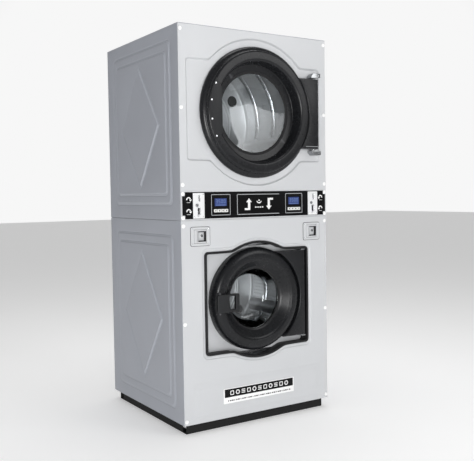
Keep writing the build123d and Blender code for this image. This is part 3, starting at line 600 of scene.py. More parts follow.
def top_cover():
    """Top sheet with rounded edges."""
    edges = (-SIDE, SIDE, FRONT, BACK)
    rings = bordered(*edges, 1.5)
    rings += [(lambda angle, k=k: box_reach(angle, *edges) * k, 0.0) for k in (0.7, 0.3, 0.0001)]
    mesh = pressed_sheet((0.0, 0.0), rings, even_angles(120, *corner_angles(*edges)),
                         lambda u, v, depth: (u, v, TOP - depth))
    add("top_cover", thick(facing_out(mesh, (0, 0, 1)), SHEET * 0.9), GREY_PAINT_AND_SHADE, "cabinet", "top_panel")


def screw_caps():
    """Domed caps down both front edges."""
    heights = (70, 551, 1031, 1071, 1187, 1231, 1603, 1978)
    profile = soften(standing_out([(0, -0.2), (10, -0.2), (9.6, 2.6), (0, 4.8)]), [0, 0.6, 4, 0], 4)
    caps = [lathe(profile, side * 438, z, 28) for _, side in WORDS for z in heights]
    add("screw_cap_domes", caps, CAP, "cabinet", "screw_caps")


side_panels()
upper_front()
lower_front()
top_cover()
screw_caps()

# ---------------------------------------------------------------- dryer door


def dryer_door():
    """Black ring, glass, grip plate with its screws; the hinge leaf is made by dryer_hinge."""
    body = "dryer_door"
    radius = DRYER_DOOR
    ring = standing_out([(radius, -9.5), (radius, 4), (323, 15), (311.5, 19), (308.5, 36), (300, 40),
                        (264, 40), (255, 33), (247, -24), (204, -28), (204, -32), (246, -32), (246, -40),
                        (284, -40), (284, -9.5)])
    rounds = [2, 8, 7, 2, 4, 5, 7, 6, 5, 1, 1, 1, 2, 4, 1]
    add("dryer_ring", lathe(soften(ring, rounds, 6), 0, DRYER_Z, 192), BLACK, body, "dryer_door_ring")
    pane = soften(standing_out([(0, -50), (70, -49.0), (140, -44.5), (204, -32.2), (245, -32.2), (245, -38),
                               (206, -38), (142, -50.5), (71, -55), (0, -56)]),
                  [0, 30, 30, 3, 0, 0, 3, 30, 30, 0], 4)
    add("dryer_glass", lathe(pane, 0, DRYER_Z, 96), GLASS, body, "dryer_door_glass")
    bead = standing_out([(200.5, -27.5), (207, -25.5), (214, -26), (214, -29), (200.5, -30.5)])
    add("dryer_glass_bead", lathe(soften(bead, 1.5, 3), 0, DRYER_Z, 128), RUBBER, body)
    trim = soften(standing_out([(249.5, -12), (252.5, 8), (254.5, 8), (252, -13)]), 0.8, 3)
    add("dryer_funnel_trim", lathe(trim, 0, DRYER_Z, 160), STEEL, body)
    corner = math.radians(31)
    grip = [(-233, DRYER_Z - 110), (-233, DRYER_Z + 110)]
    grip += arc(0, DRYER_Z, 306, math.pi - corner, math.pi + corner, 24)
    add("dryer_grip_plate", plate([grip], out(45), out(40), 1.2), BLACK_SATIN, body, "dryer_door_handle")
    heads = []
    for degrees in (-25.5, -9, 9, 25.5):
        angle = math.radians(180 + degrees)
        heads.append(screw(297 * math.cos(angle), DRYER_Z + 297 * math.sin(angle), out(44.9), 5.5, 3))
    add("dryer_grip_screws", heads, SCREW, body)


def hinge_leaf(low, high, circle, z, bevel):
    """Hinge leaf: a rectangle whose left side follows the door ring."""
    start, end = math.asin((low.z - z) / circle), math.asin((high.z - z) / circle)
    outline = [(high.x, low.z), (high.x, high.z)] + arc(0, z, circle, end, start, 28)
    return plate([outline], low.y, high.y, bevel, 4)


def dryer_hinge():
    """Hinge leaf in two layers, with a folded strip at its foot."""
    low, high = box("dryer_door_hinge_plate")
    leaves = []
    for front, back, circle, bevel in ((38, 20.2, 311.6, 6), (21, 2, DRYER_DOOR + 0.3, 4)):
        near, far = Vector((low.x, out(front), low.z)), Vector((high.x, out(back), high.z))
        leaves.append(hinge_leaf(near, far, circle, DRYER_Z, bevel))
    add("dryer_hinge_leaf", leaves, BLACK, "dryer_door", "dryer_door_hinge_plate")
    strip = plate([rectangle(DRYER_HINGE.x - 24, low.z + 13, 84, 3, 1)], out(39), out(36), 0.6)
    add("dryer_hinge_fold", strip, LINE_INK, "dryer_door")


dryer_door()
dryer_hinge()

# ---------------------------------------------------------------- washer door and its recess


def washer_door():
    """Black ring with the ears of the handle, glass bowl and hinge leaf."""
    body = "washer_door"
    radius = WASHER_DOOR
    ring = standing_out([(radius, -64), (radius, -26), (256, -7), (237, 0), (213, 0), (207.5, -6),
                        (201, -8), (166, -38), (157, -42), (157, -47), (178, -47), (178, -64)])
    rounds = [2, 18, 14, 12, 4, 2.5, 7, 8, 2, 1, 1, 1]
    x, y = HANDLE_PIVOT.x, HANDLE_PIVOT.y
    ear = soften([(x - 8, out(-28)), (x - 8, y + 2), (x - 4, y - 6.5), (x + 4, y - 6.5), (x + 8, y + 2),
                  (x + 8, out(-28))], 4, 4)
    ears = [prism(ear, low, high) for low, high in ((580, 589), (683, 692))]
    mesh = joined([lathe(soften(ring, rounds, 7), 0, WASHER_Z, 176)] + ears)
    add("washer_ring", mesh, BLACK, body, "washer_door_ring")
    bowl = soften(standing_out([(0, -146), (108, -144.5), (131, -132), (157.5, -55), (177, -55),
                               (177, -47.2), (152, -47.2), (125.5, -129), (106, -138.6), (0, -140)]),
                  [0, 20, 20, 6, 0, 0, 6, 20, 20, 0], 6)
    add("washer_glass", lathe(bowl, 0, WASHER_Z, 112), GLASS, body, "washer_door_glass")
    bead = standing_out([(153.5, -43), (158.5, -40.2), (163, -41), (163, -46), (153.5, -46.5)])
    add("washer_glass_bead", lathe(soften(bead, 1.5, 3), 0, WASHER_Z, 128), RUBBER, body)
    leaf = hinge_leaf(*box("washer_door_hinge_plate"), WASHER_DOOR + 0.1, WASHER_Z, 5)
    add("washer_hinge_leaf", leaf, BLACK, body, "washer_door_hinge_plate")


def washer_handle():
    """Lever with a finger loop."""
    node = "washer_door_handle"
    low, high = box(node)
    outlines = [front_of(node, 7, 6), rectangle(-175, 637.5, 37, 68, 6, 6)]
    add("washer_loop_handle", plate(outlines, low.y, high.y, 3.2, 4), BLACK_SATIN, "washer_handle", node)


def recess():
    """Black edging and wall of the recess, the white plate inside it, and the gasket."""
    def path(inset):
        points = []
        for k in range(360):
            angle = 2 * math.pi * k / 360
            reach = porthole_reach(angle, 321 - inset, 260 - inset, max(20 - inset, 6), 303 - inset)
            points.append((reach * math.cos(angle), WASHER_Z + reach * math.sin(angle)))
        return points
    lip = plate([path(0.4), path(12)], out(2), out(-6), 2, 3)
    wall = plate([path(0.6), path(5)], out(-4), out(-63.5), 0.2)
    add("washer_recess_edging", [lip, wall], RUBBER, "cabinet", "washer_recess_trim")
    low, high = box("washer_recess_panel")
    hole = disc(0, WASHER_Z, 216, 160)
    inner = plate([rectangle(0, WASHER_Z, high.x - low.x, 548, 20), hole], low.y, high.y, 0.3)
    add("washer_inner_plate", inner, WHITE, "cabinet", "washer_recess_panel")
    low, high = box("washer_door_gasket")
    seal = soften([(168, high.y), (168, low.y + 3), (176, low.y), (184, low.y), (190, low.y + 4),
                   (197, low.y), (204, low.y), (215, low.y + 4), (215, high.y)], 3, 5)
    add("washer_bellows_seal", lathe(seal, 0, WASHER_Z, 128), RUBBER, "cabinet", "washer_door_gasket")


washer_door()
washer_handle()
recess()

# ---------------------------------------------------------------- hinge hardware


def hinge_brackets():
    """Chrome brackets with pins: tapered arms for the dryer, flat tabs for the washer."""
    pieces = []
    x, y = DRYER_HINGE.x, DRYER_HINGE.y
    low, high = box("dryer_door_hinge_plate")
    for z_low, z_high, pin in ((high.z + 5, high.z + 33, (high.z - 20, high.z + 6)),
                               (low.z - 33, low.z - 5, (low.z - 6, low.z + 20))):
        rise = z_high - z_low
        arm = soften([(x - 20, z_low), (x + 40, z_low + 0.15 * rise), (x + 40, z_high), (x - 4, z_high),
                      (x - 20, z_low + 0.45 * rise)], 4, 5)
        if z_low < DRYER_Z:
            arm = [(px, z_low + z_high - pz) for px, pz in arm]
        pieces.append(plate([arm], y - 12, FRONT + 10, 1.6, 3))
        pieces.append(upright_pin(x, y, 6, *pin))
        pieces.append(screw(x + 26, (z_low + z_high) / 2, y - 12, 6, 3))
    x, y = WASHER_HINGE.x, WASHER_HINGE.y
    low, high = box("washer_door_hinge_plate")
    for z_low, z_high, pin in ((high.z + 1, high.z + 7, (high.z - 18, high.z + 2)),
                               (low.z - 7, low.z - 1, (low.z - 2, low.z + 18))):
        tab = rectangle(x + 1, (z_low + z_high) / 2, 26, z_high - z_low, 1, 2)
        pieces.append(plate([tab], y - 9, FRONT + 65, 0.8, 2))
        pieces.append(upright_pin(x, y, 4, *pin))
    add("hinge_hardware", pieces, CHROME, "cabinet", "door_hinge_brackets")


def upright_pin(x, y, radius, low, high):
    """Round pin along Z with eased ends."""
    profile = soften([(0, low), (radius, low), (radius, high), (0, high)],
                     [0, radius * 0.3, radius * 0.3, 0], 3)
    mesh = lathe(profile, 0, 0, 32)
    mesh.transform(Matrix(((1, 0, 0, x), (0, 0, 1, y), (0, 1, 0, 0), (0, 0, 0, 1))))
    return outward(mesh)


hinge_brackets()

# ---------------------------------------------------------------- drums


def perforated_wall(radius, near, far, z, columns, rows, hole):
    """Cylinder wall made of square cells, each with a round hole."""
    points, faces = [], []
    pitch = (far - near) / rows

    def at(column, row):
        angle = 2 * math.pi * column / columns
        return (radius * math.cos(angle), near + row * pitch, z + radius * math.sin(angle))

    share = hole / pitch
    lookup = {}

    def shared(column, row):
        key = (round(column * 2) % (columns * 2), round(row * 2))
        if key not in lookup:
            lookup[key] = len(points)
            points.append(at(column, row))
        return lookup[key]

    ring = [(-0.5, -0.5), (0, -0.5), (0.5, -0.5), (0.5, 0), (0.5, 0.5), (0, 0.5), (-0.5, 0.5), (-0.5, 0)]
    for row in range(rows):
        for column in range(columns):
            c, r = column + 0.5, row + 0.5
            outer = [shared(c + du, r + dv) for du, dv in ring]
            inner = []
            for k in range(8):
                angle = math.radians(-135 + 45 * k)
                inner.append(len(points))
                points.append(at(c + share * math.cos(angle), r + share * math.sin(angle)))
            for k in range(8):
                faces.append((outer[k], outer[(k + 1) % 8], inner[(k + 1) % 8], inner[k]))
    return mesh_of(points, faces)


def drum_look(word, radius, near, far, mouth, z, lift, base, beads):
    """Perforated stainless drum with rolled mouth, beads, ribbed back, lifters, hub and shaft."""
    body = f"{word}_drum"
    wall = thick(perforated_wall(radius - 1, near + 30, far - 30, z, 104, 24, 3.2), 1)
    front = soften([(radius, near + 31), (radius, near), (mouth, near), (mouth, near + 5),
                    (mouth + 4, near + 5), (mouth + 4, near + 2), (radius - 2, near + 2),
                    (radius - 2, near + 31)], [0, 12, 3, 1, 1, 2, 12, 0], 5)
    rolls = [lathe(front, 0, z, 160)]
    back = [(radius, far - 31), (radius, far), (0, far), (0, far - 2)]
    for r in (radius * 0.40, radius * 0.68):
        back += [(r - 13, far - 2), (r - 5, far - 13), (r + 5, far - 13), (r + 13, far - 2)]
    back += [(radius - 2, far - 2), (radius - 2, far - 31)]
    rounds = [0, 20, 0, 0] + [4] * 8 + [20, 0]
    rolls.append(lathe(soften(back, rounds, 5), 0, z, 160))
    ridges = []
    for share in beads:
        y = near + (far - near) * share
        bead = soften([(radius - 2, y - 16), (radius - 19, y), (radius - 2, y + 16), (radius, y)], 6, 5)
        ridges.append(lathe(bead, 0, z, 160))
    add(f"{word}_drum_beads", ridges, STEEL, body)
    shaft_end = box(body)[1].y
    hub = soften([(0, far - 3), (62, far - 3), (58, far - 9), (0, far - 12)], [0, 2, 4, 0], 4)
    rolls.append(lathe(hub, 0, z, 64))
    shaft = soften([(0, far - 1), (90, far - 1), (90, far + 3), (34, far + 12), (20, far + 12),
                    (20, shaft_end), (0, shaft_end)], [0, 0, 0, 2, 1, 1, 0], 3)
    rolls.append(lathe(shaft, 0, z, 48))
    lifters = [lifter_mesh(radius - 2, lift, base, near + 20, far - 20, math.radians(120 * k - 50), z)
               for k in range(3)]
    add(f"{word}_drum_shell", [wall] + rolls + lifters, DRUM_STEEL, body, body, sharp=50)
    # Thin dark discs laid on the back wall: painted shade standing in for dark vent openings.
    vent_shade_discs = []
    for k in range(6):
        angle = math.radians(28 + 60 * k)
        x, v = radius * 0.83 * math.cos(angle), z + radius * 0.83 * math.sin(angle)
        cover = soften([(0, far - 2.1), (radius * 0.088, far - 2.1), (radius * 0.08, far - 3.6),
                        (0, far - 3.8)], [0, 0.6, 1, 0], 3)
        vent_shade_discs.append(lathe(cover, x, v, 40))
    add(f"{word}_drum_vent_shade_discs", vent_shade_discs, DARK, body)


def lifter_mesh(radius, height, base, near, far, angle, z):
    """Rounded lifter that tapers at both ends."""
    section = soften([(-base / 2, -radius), (-13, -radius + height), (13, -radius + height),
                      (base / 2, -radius)], [4, 14, 14, 4], 6, closed=False)
    count, stations = len(section), 12
    cosine, sine = math.cos(angle), math.sin(angle)
    points = []
    for s in range(stations + 1):
        t = s / stations
        rise = min(1.0, 0.25 + 3.2 * min(t, 1 - t) * 2)
        y = near + (far - near) * t
        for u, v in section:
            w = -radius + (v + radius) * rise
            points.append((u * cosine - w * sine, y, z + u * sine + w * cosine))
    ends = [tuple(range(count)), tuple(range((stations + 1) * count - 1, stations * count - 1, -1))]
    return outward(mesh_of(points, ends + grid(stations + 1, count)))


# height of the axis, length, mouth radius, lifter height and base, beads along the wall
DRUMS = {"dryer": (DRYER_Z, 635, 300, 60, 86, (0.24, 0.537, 0.8)),
         "washer": (WASHER_Z, 456, 205, 50, 76, (0.33, 0.66))}
for word, (z, length, mouth, lift, base, beads) in DRUMS.items():
    low, high = box(f"{word}_drum")
    drum_look(word, high.x, low.y, low.y + length, mouth, z, lift, base, beads)

# ---------------------------------------------------------------- control band


def band_panel():
    """Glossy overlay with notched corners and four cut-outs."""
    low, high = box("control_panel")
    notch, drop = 15, 18
    edge = [(low.x + notch, low.z), (high.x - notch, low.z), (high.x - notch, low.z + drop),
            (high.x, low.z + drop), (high.x, high.z - drop), (high.x - notch, high.z - drop),
            (high.x - notch, high.z), (low.x + notch, high.z), (low.x + notch, high.z - drop),
            (low.x, high.z - drop), (low.x, low.z + drop), (low.x + notch, low.z + drop)]
    outlines = [soften(edge, 2, 3)]
    for node, half, width, height in (("coin_acceptors", 32, 58, 117), ("controllers", 58, 102, 97)):
        x, z = box(node)[1].x - half, middle(node).z
        outlines += [rectangle(side * x, z, width, height, 1, 2) for _, side in WORDS]
    add("band_overlay", plate(outlines, low.y, high.y, 0.5), OVERLAY, "cabinet", "control_panel")


def frame_line(x, z, width, height, line, radius):
    """Outline of a rounded rectangle, drawn with a line of some width."""
    inner = rectangle(x, z, width - 2 * line, height - 2 * line, max(radius - line, 0.5))
    return [rectangle(x, z, width, height, radius), inner]


def print_on(name, shapes, material, y, lift=0.25):
    """Thin printed marks on a face at depth y."""
    marks = [plate(outlines, y - lift, y + 0.05) for outlines in shapes]
    add(name, marks, material, "cabinet")


def arrow(x, z, height, up):
    """Bent arrow: head, stem and a foot turned to the left if it points up, or else to the right."""
    outline = [(0, 30), (17, 10), (7, 10), (7, -30), (-27, -30), (-27, -20), (-7, -20), (-7, 10), (-17, 10)]
    scale = height / 60 if up else -height / 60
    return [[(x + u * scale, z + v * scale) for u, v in outline]]


def arc_mark(x, z, radius, line, start, end, count=14):
    """Thick arc between two angles in degrees."""
    start, end = math.radians(start), math.radians(end)
    return [arc(x, z, radius, start, end, count) + arc(x, z, radius - line, end, start, count)]


def band_print():
    """Outlines, arrows, a centre emblem and coin marks printed on the overlay."""
    y = box("control_panel")[0].y
    mid = middle("controllers").z
    top, bottom, left, right, line = mid + 52, mid - 53, -130, 132, 4
    path = [(right, top), (left, top), (left, bottom), (right, bottom), (right, bottom + line),
            (left + line, bottom + line), (left + line, top - line), (right, top - line)]
    print_on("band_outline", [[soften(path, [0, 6, 6, 0, 0, 3, 3, 0], 4)]], LINE_INK, y)
    marks = [arrow(-57, mid, 60, True), arrow(66, mid, 60, False), arc_mark(5, mid + 20, 17, 5, 200, 340),
             [disc(5, mid + 19, 4)]]
    marks += [[rectangle(5 + 14 * k, mid - 16, 9, 6, 1.5)] for k in (-1.5, -0.5, 0.5, 1.5)]
    for side, start, end in ((-1, 20, 190), (1, -10, 160)):
        x, tip = side * 408, side * 398
        for z in (mid + 28, mid - 30):
            point = [(tip - 8, z + 1), (tip + 8, z + 1), (tip, z - 9)]
            foot = rectangle(x + side, z - 14, 20, 1.6, 0.6)
            marks += [arc_mark(x, z, 13, 5.5, start, end), [point], [foot]]
    print_on("band_marks", marks, INK, y)


def coin_plates():
    """White plates with an entry slot, a return cup, a reject button rim and small screws."""
    low, high = box("coin_acceptors")
    z, half = (low.z + high.z) / 2, 32
    plates, rims, heads, bodies = [], [], [], []
    for _, side in WORDS:
        x = side * (high.x - half)
        holes = [rectangle(x + 3, z + 36, 3.6, 27, 1.6), rectangle(x, z - 27, 10, 30, 2),
                 disc(x - 10, z + 2, 6.5, 28)]
        plates.append(plate([rectangle(x, z, 64, 125, 4)] + holes, out(6), out(3), 0.6))
        rims.append(plate(frame_line(x + 3, z + 36, 10, 34, 2.6, 3), out(7.4), out(5.8), 0.5))
        rims.append(plate(frame_line(x, z - 27, 17, 37, 3, 4), out(7.6), out(5.8), 0.6))
        button_rim = soften(standing_out([(6.5, 5.8), (9, 5.8), (8.6, 7.4), (6.5, 7.6)]), 0.5, 2)
        rims.append(lathe(button_rim, x - 10, z + 2, 32))
        heads += [screw(x + u, z + v, out(5.9), 3, 1.6) for v in (-55, 55) for u in (-25, 25)]
        stud = soften(standing_out([(0, 5.9), (5, 5.9), (4.4, 8), (0, 8.6)]), [0, 0, 1, 0], 3)
        heads.append(lathe(stud, x - 4, z - 51, 24))
        bodies.append(plate([rectangle(x, z, 56, 115, 1, 2)], out(-22.5), high.y, 0.5))
        for tunnel in (frame_line(x, z - 27, 16, 36, 3, 3), frame_line(x + 3, z + 36, 9.6, 33, 3, 2)):
            bodies.append(plate(tunnel, out(3.5), out(-22.6)))
    add("coin_plates", plates, COIN_WHITE, "cabinet", "coin_acceptors")
    add("coin_plate_rims", rims, STEEL, "cabinet")
    add("coin_plate_screws", heads, SCREW, "cabinet")
    add("coin_mechanisms", bodies, DARK, "cabinet")
    for word, _ in WORDS:
        node = f"reject_button_{word}"
        low, high = box(node)
        profile = soften([(0, high.y), (6, high.y), (6, low.y), (4, low.y), (3, low.y + 1),
                          (0, low.y + 1.4)], [0, 0.5, 1.6, 0.4, 1, 0], 4)
        spot = middle(node)
        add(f"{node}_look", lathe(profile, spot.x, spot.z, 36), CHROME, node, node)


SEGMENTS = {"0": "abcdef", "3": "abgcd", "5": "afgcd"}


def digit(symbol, x, z, width, height, line):
    """Seven-segment digit."""
    w, h = width / 2, height / 2
    bars = {"a": (0, h, width, line), "g": (0, 0, width, line), "d": (0, -h, width, line),
            "f": (-w, h / 2, line, h), "b": (w, h / 2, line, h), "e": (-w, -h / 2, line, h),
            "c": (w, -h / 2, line, h)}
    shapes = []
    for name in SEGMENTS[symbol]:
        u, v, across, up = bars[name]
        shapes.append([rectangle(x + u, z + v, across * 0.9, up * 0.9, line * 0.2, 1)])
    return shapes


def controller_faces():
    """Bezel, blue display with digits, and keys."""
    low, high = box("controllers")
    z = (low.z + high.z) / 2
    half = 58
    bezels, screens, glyphs, outlines = [], [], [], []
    for word, side in WORDS:
        x = side * (high.x - half)
        holes = [rectangle(x, z + 13, 84, 46, 1.5)]
        for n in range(1, 5):
            key = middle(f"{word}_key_{n}")
            holes.append(rectangle(key.x, key.z, 18.8, 15.8, 1.5, 3))
        bezels.append(plate([rectangle(x, z, 116, 109, 6)] + holes, out(5), out(3), 0.4))
        bezels.append(plate([rectangle(x, z, 100, 95, 2)], out(-9), out(-50), 0.5))
        outlines.append(plate(frame_line(x, z, 112, 105, 3.4, 5), out(5.3), out(4.9)))
        bezels.append(plate([rectangle(x, z + 13, 83.4, 45.4, 1)], out(4), out(1)))
        screens.append(plate([rectangle(x, z + 13, 70, 38, 1)], out(4.2), out(3.9)))
        for k, symbol in enumerate("3500"):
            shapes = digit(symbol, x + 15 * k - 23, z + 17, 8, 16, 2)
            glyphs += [plate(shape, out(4.4), out(4.15)) for shape in shapes]
        glyphs.append(plate([rectangle(x, z - 1, 58, 2.2, 0.5)], out(4.4), out(4.15)))
    add("controller_bezels", bezels, OVERLAY, "cabinet", "controllers")
    add("controller_outlines", outlines, LINE_INK, "cabinet")
    add("controller_screens", screens, LCD, "cabinet")
    add("controller_digits", glyphs, DIGIT, "cabinet")
    for word, _ in WORDS:
        for n in range(1, 5):
            node = f"{word}_key_{n}"
            low, high = box(node)
            add(f"{node}_cap", plate([front_of(node, 2)], low.y, high.y, 1, 3), KEY, node, node)
            spot = middle(node)
            # Dark mark on each key: partly a legend print, partly painted shade, made large to stand for
            # the shaded gaps between keys.
            mark = plate([rectangle(spot.x, spot.z, 6, 7, 1)], low.y - 0.15, low.y + 0.1)
            add(f"{node}_mark", mark, DARK, node)


band_panel()
band_print()
coin_plates()
controller_faces()

# ---------------------------------------------------------------- coin vaults


def coin_vault_look():
    """Rounded cover plates with corner screws, sleeves, drawers with a ramped pocket, locks."""
    z = middle("coin_vaults").z
    covers, heads, sleeves, gap_shade_rims = [], [], [], []
    far = box("coin_vaults")[1].y
    for word, _ in WORDS:
        x = middle(f"coin_drawer_{word}").x
        covers.append(plate([rectangle(x, z, 108, 92, 10), rectangle(x, z, 70.4, 68.4, 1.5)], out(2.5),
                            out(-0.1), 0.8))
        # Black rims just beyond each cover and lining the drawer opening: painted shade drawing the gap
        # shadow round the plates.
        gap_shade_rims.append(plate([rectangle(x, z, 112, 96, 11), rectangle(x, z, 74, 72, 1.5)], out(1.2),
                             out(-0.1), 0.4))
        gap_shade_rims.append(plate(frame_line(x, z, 70.6, 68.6, 1, 2), out(0.6), out(-6)))
        heads += [screw(x + u, z + v, out(2.4), 3.4, 1.8) for u in (-45, 45) for v in (-37, 37)]
        sleeves.append(plate([rectangle(x, z, 74, 72, 1), rectangle(x, z, 70, 68, 1)], out(1), far))
        sleeves.append(plate([rectangle(x, z, 74, 72, 1)], far - 2, far))
        drawer(word, x, z)
        lock(word)
    add("vault_covers", covers, WHITE, "cabinet", "coin_vaults")
    add("vault_gap_shade_rims", gap_shade_rims, RUBBER, "cabinet")
    add("vault_screws", heads, SCREW, "cabinet")
    add("vault_sleeves", sleeves, ZINC, "cabinet")


def drawer(word, x, z):
    """Front with a ramped pocket, black strips on its top, right and bottom walls as painted shade, and the
    tray behind it.
    """
    node = f"coin_drawer_{word}"
    low, high = box(node)
    near = low.y
    left, right, half, deep = x - 20, x + 33, 26, 14
    pocket = rectangle((left + right) / 2, z, right - left, 2 * half, 2, 3)
    face = plate([rectangle(x, z, 67.4, 65.4, 3), pocket], near, near + 20, 0.7)
    profile = [(left, near + 0.5), (left + 20, near + deep), (right, near + deep), (right, near + 20),
               (left, near + 20)]
    ramp = cut(prism(profile, z - half, z + half), [plate([disc(x + 15, z + 2.5, 7.1)], near, near + 30)])
    add(f"{node}_front", [face, ramp], WHITE, node, node)
    # Black strips on the pocket's top, right and bottom walls: painted shade where those walls shadow the
    # pocket.
    open_left = left + 13
    pocket_shade_outline = [(open_left, z + half - 0.1), (right - 0.1, z + half - 0.1), (right - 0.1, z - half + 0.1),
              (open_left, z - half + 0.1), (open_left, z - half + 5), (right - 6, z - half + 5),
              (right - 6, z + half - 5), (open_left, z + half - 5)]
    add(f"{node}_pocket_painted_shade", plate([soften(pocket_shade_outline, 1, 2)], near + 1.5, near + 13.5, 0.3), RUBBER, node)
    tray_near, tray_far = near + 20, high.y
    walls = [plate([rectangle(x + u, z + v, width, height, 0.3, 1)], tray_near, tray_far, 0.3)
             for u, v, width, height in ((0, -32, 68, 2), (-33, 0, 2, 66), (33, 0, 2, 66))]
    walls.append(plate([rectangle(x, z, 68, 66, 0.5, 1)], tray_far - 2, tray_far, 0.3))
    add(f"{node}_tray", walls, ZINC, node)


def lock(word):
    """Barrel with a key slot, and its cam."""
    node = f"coin_lock_{word}"
    turn = joint_place(f"{node}_turn")
    x, z = turn.x, turn.z
    low, high = box(node)
    profile = soften([(0, high.y - 2), (7, high.y - 2), (7, low.y + 0.8), (6, low.y), (4.5, low.y),
                      (4, low.y + 0.6), (0, low.y + 0.6)], [0, 0, 0.4, 0.4, 0.3, 0.3, 0], 2)
    slot_cut = plate([rectangle(x, z, 1.6, 6, 0.5, 2)], low.y - 1, low.y + 3)
    barrel = cut(lathe(profile, x, z, 40), [slot_cut])
    cam = plate([rectangle(x, z + 5, 9, 19, 4)], high.y - 2, high.y, 0.4)
    add(f"{node}_barrel", [barrel, cam], CHROME, node, node)


coin_vault_look()

# ---------------------------------------------------------------- nameplate


def plate_marks():
    """Nameplate: black band with a row of plain marks over a white strip."""
    low, high = box("nameplate")
    mid_x = middle("nameplate").x
    base = plate([front_of("nameplate", 3)], low.y, high.y, 0.3)
    add("nameplate_base", base, CAP, "cabinet", "nameplate")
    band_z = high.z - 24
    band = plate([rectangle(mid_x, band_z, 428, 42, 2)], low.y - 0.25, low.y + 0.1)
    add("nameplate_band", band, OVERLAY, "cabinet")
    marks = []
    for k in range(11):
        x = mid_x + (k - 5) * 34
        if k % 3 == 0:
            marks.append(frame_line(x, band_z, 22, 22, 4, 4))
        elif k % 3 == 1:
            marks.append([disc(x, band_z, 12, 28), disc(x, band_z, 7, 24)])
        else:
            marks += [[rectangle(x, band_z + v, 22, 4, 1.5)] for v in (-8, 0, 8)]
    print_on("nameplate_marks", marks, INK, low.y - 0.25)
    dashes = [[rectangle(mid_x + (k - 15.5) * 12.4, low.z + 13, 5 + 3 * (k * 7 % 3), 6, 1)]
              for k in range(32)]
    print_on("nameplate_dashes", dashes, DARK, low.y)


plate_marks()

# ---------------------------------------------------------------- rear of the machine


def louvre(x, z, width, y):
    """Half-round louvre hood standing out of a sheet that faces +Y."""
    points, stations, rise = [], 10, 8
    for s in range(stations + 1):
        t = s / stations
        end = math.sqrt(max(0.0, 1 - abs(2 * t - 1) ** 6))
        for k in range(rise + 1):
            angle = math.pi / 2 * k / rise
            up = 12 * end * math.sin(angle)
            points.append((x + (t - 0.5) * width, y + 9 * end * math.cos(angle), z + up))
    mesh = mesh_of(points, grid(stations + 1, rise + 1, around=False))
    return thick(facing_out(mesh, (0, 1, 0.5)), 1)


def rear():
    """Louvres, rear screws and a bolted access cover."""
    hoods = [louvre(side * 190, lowest + 34 * k, 240, BACK) for lowest, count in ((1450, 12), (560, 6))
             for side in (-1, 1) for k in range(count)]
    add("rear_louvres", hoods, ZINC, "cabinet")
    mirror = Matrix(((-1, 0, 0, 0), (0, -1, 0, 0), (0, 0, 1, 0), (0, 0, 0, 1)))
    heads = [screw(side * 436, lowest + pitch * k, FRONT, 5, 3) for side in (-1, 1) for k in range(6)
             for lowest, pitch in ((90, 185), (1090, 178))]
    heads += [screw(x, z, FRONT, 5, 3) for x in (-300, 0, 300) for z in (72, 1036, 1082, 1978)]
    heads += [screw(-u, v, FRONT - 2.5, 5, 3) for u in (60, 380) for v in (120, 300, 480)]
    mesh = joined(heads)
    mesh.transform(mirror)
    add("rear_screws", mesh, SCREW, "cabinet")
    cover = plate([rectangle(220, 300, 360, 400, 12)], BACK - 0.2, BACK + 2.5, 0.8)
    add("rear_access_cover", cover, ZINC, "cabinet")
    flange = soften([(76.2, BACK), (100, BACK), (100, BACK + 2), (80, BACK + 2), (76.2, BACK + 6)], 1, 3)
    collar = lathe(flange, -165, 1152, 96)
    rim = soften([(73.5, BACK + 42), (76.4, BACK + 42), (77.4, BACK + 43.5), (76.4, BACK + 45),
                  (73.5, BACK + 45)], 0.8, 3)
    add("exhaust_collar_flange", [collar, lathe(rim, -165, 1152, 96)], ZINC, "cabinet")


rear()

# ---------------------------------------------------------------- finishes on the CAD pieces that stay

CAD_FINISHES = {
    PLINTH: ["base_plinth"],
    ZINC: ["frame", "back_panels", "dryer_bulkheads", "dryer_burner_box", "dryer_blower_housing"],
    WHITE: ["mid_deck"],
    STEEL: ["washer_tub", "lint_screen"],
    CAST: ["washer_bearing_housing", "dryer_bearing_housing"],
    ALLOY: ["dryer_drum_pulley", "washer_drum_pulley", "dryer_motor_pulley", "washer_motor_pulley",
            "dryer_blower_impeller"],
    MOTOR: ["dryer_motor", "washer_motor"],
    RUBBER: ["dryer_belt", "washer_belt"],
    BLACK_SATIN: ["service_connections"],
}
for material, names in CAD_FINISHES.items():
    for name in names:
        data = NODES[name].data
        data.materials.clear()
        data.materials.append(material)

# ---------------------------------------------------------------- stage, lights and camera

WORLD_FRONT = 0.25
WORLD_BEHIND = 0.93


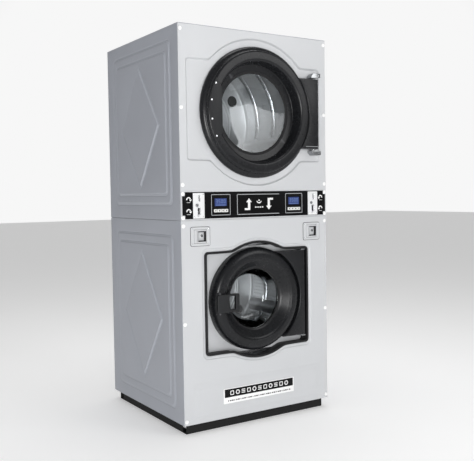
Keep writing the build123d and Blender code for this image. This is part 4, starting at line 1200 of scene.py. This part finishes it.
def stage():
    """Pale floor that runs far enough back to be seamless, under a sky that is brighter behind."""
    reach, sunk = 30, -0.0005
    corners = [(-reach, -reach, sunk), (reach, -reach, sunk), (reach, reach, sunk), (-reach, reach, sunk)]
    mesh = mesh_of(corners, [(0, 1, 2, 3)])
    mesh.materials.append(FLOOR)
    floor = bpy.data.objects.new("studio_floor", mesh)
    bpy.context.scene.collection.objects.link(floor)
    world = bpy.data.worlds.new("studio")
    bpy.context.scene.world = world
    world.use_nodes = True
    tree = world.node_tree
    background = tree.nodes["Background"]
    background.inputs["Color"].default_value = (1.0, 1.0, 1.0, 1)
    place = shader_node(tree, "ShaderNodeTexCoord")
    towards = shader_node(tree, "ShaderNodeVectorMath")
    towards.operation = "DOT_PRODUCT"
    towards.inputs[1].default_value = (0.54, 0.84, 0.0)
    glow = shader_node(tree, "ShaderNodeMapRange", From_Min=0.72, From_Max=0.93, To_Min=WORLD_FRONT,
                       To_Max=WORLD_BEHIND)
    tree.links.new(place.outputs["Generated"], towards.inputs[0])
    tree.links.new(towards.outputs["Value"], glow.inputs["Value"])
    tree.links.new(glow.outputs["Result"], background.inputs["Strength"])


def soft_box(name, place, aim, size, watts):
    """Square area light aimed at a point."""
    light = bpy.data.lights.new(name, "AREA")
    light.size, light.energy = size, watts
    lamp = bpy.data.objects.new(name, light)
    bpy.context.scene.collection.objects.link(lamp)
    lamp.location = place
    lamp.rotation_euler = (Vector(aim) - Vector(place)).to_track_quat("-Z", "Y").to_euler()


def camera():
    """Eye level a little over one metre, to the left of the machine, turned towards it."""
    data = bpy.data.cameras.new("view")
    data.lens, data.sensor_width = 55.68, 36
    eye = bpy.data.objects.new("view", data)
    bpy.context.scene.collection.objects.link(eye)
    heading, pitch, roll = math.radians(32.65), math.radians(-2.88), math.radians(-0.84)
    turns = ((-heading, "Z"), (math.pi / 2 + pitch, "X"), (roll, "Z"))
    first, second, third = [Matrix.Rotation(angle, 4, axis) for angle, axis in turns]
    place = (-2.1283, -3.5428, 1.1848)
    eye.matrix_world = Matrix.Translation(place) @ (first @ second @ third)
    bpy.context.scene.camera = eye


stage()
soft_box("key", (-2.7, -5.3, 0.8), (0, 0, 1.2), 2.0, 205)
soft_box("front", (2.4, -4.4, 3.2), (0, 0, 1.5), 2.4, 52)
soft_box("top", (0.2, 0.2, 4.6), (0, 0, 1.6), 2.4, 70)
camera()
bpy.context.scene.view_settings.view_transform = "Standard"
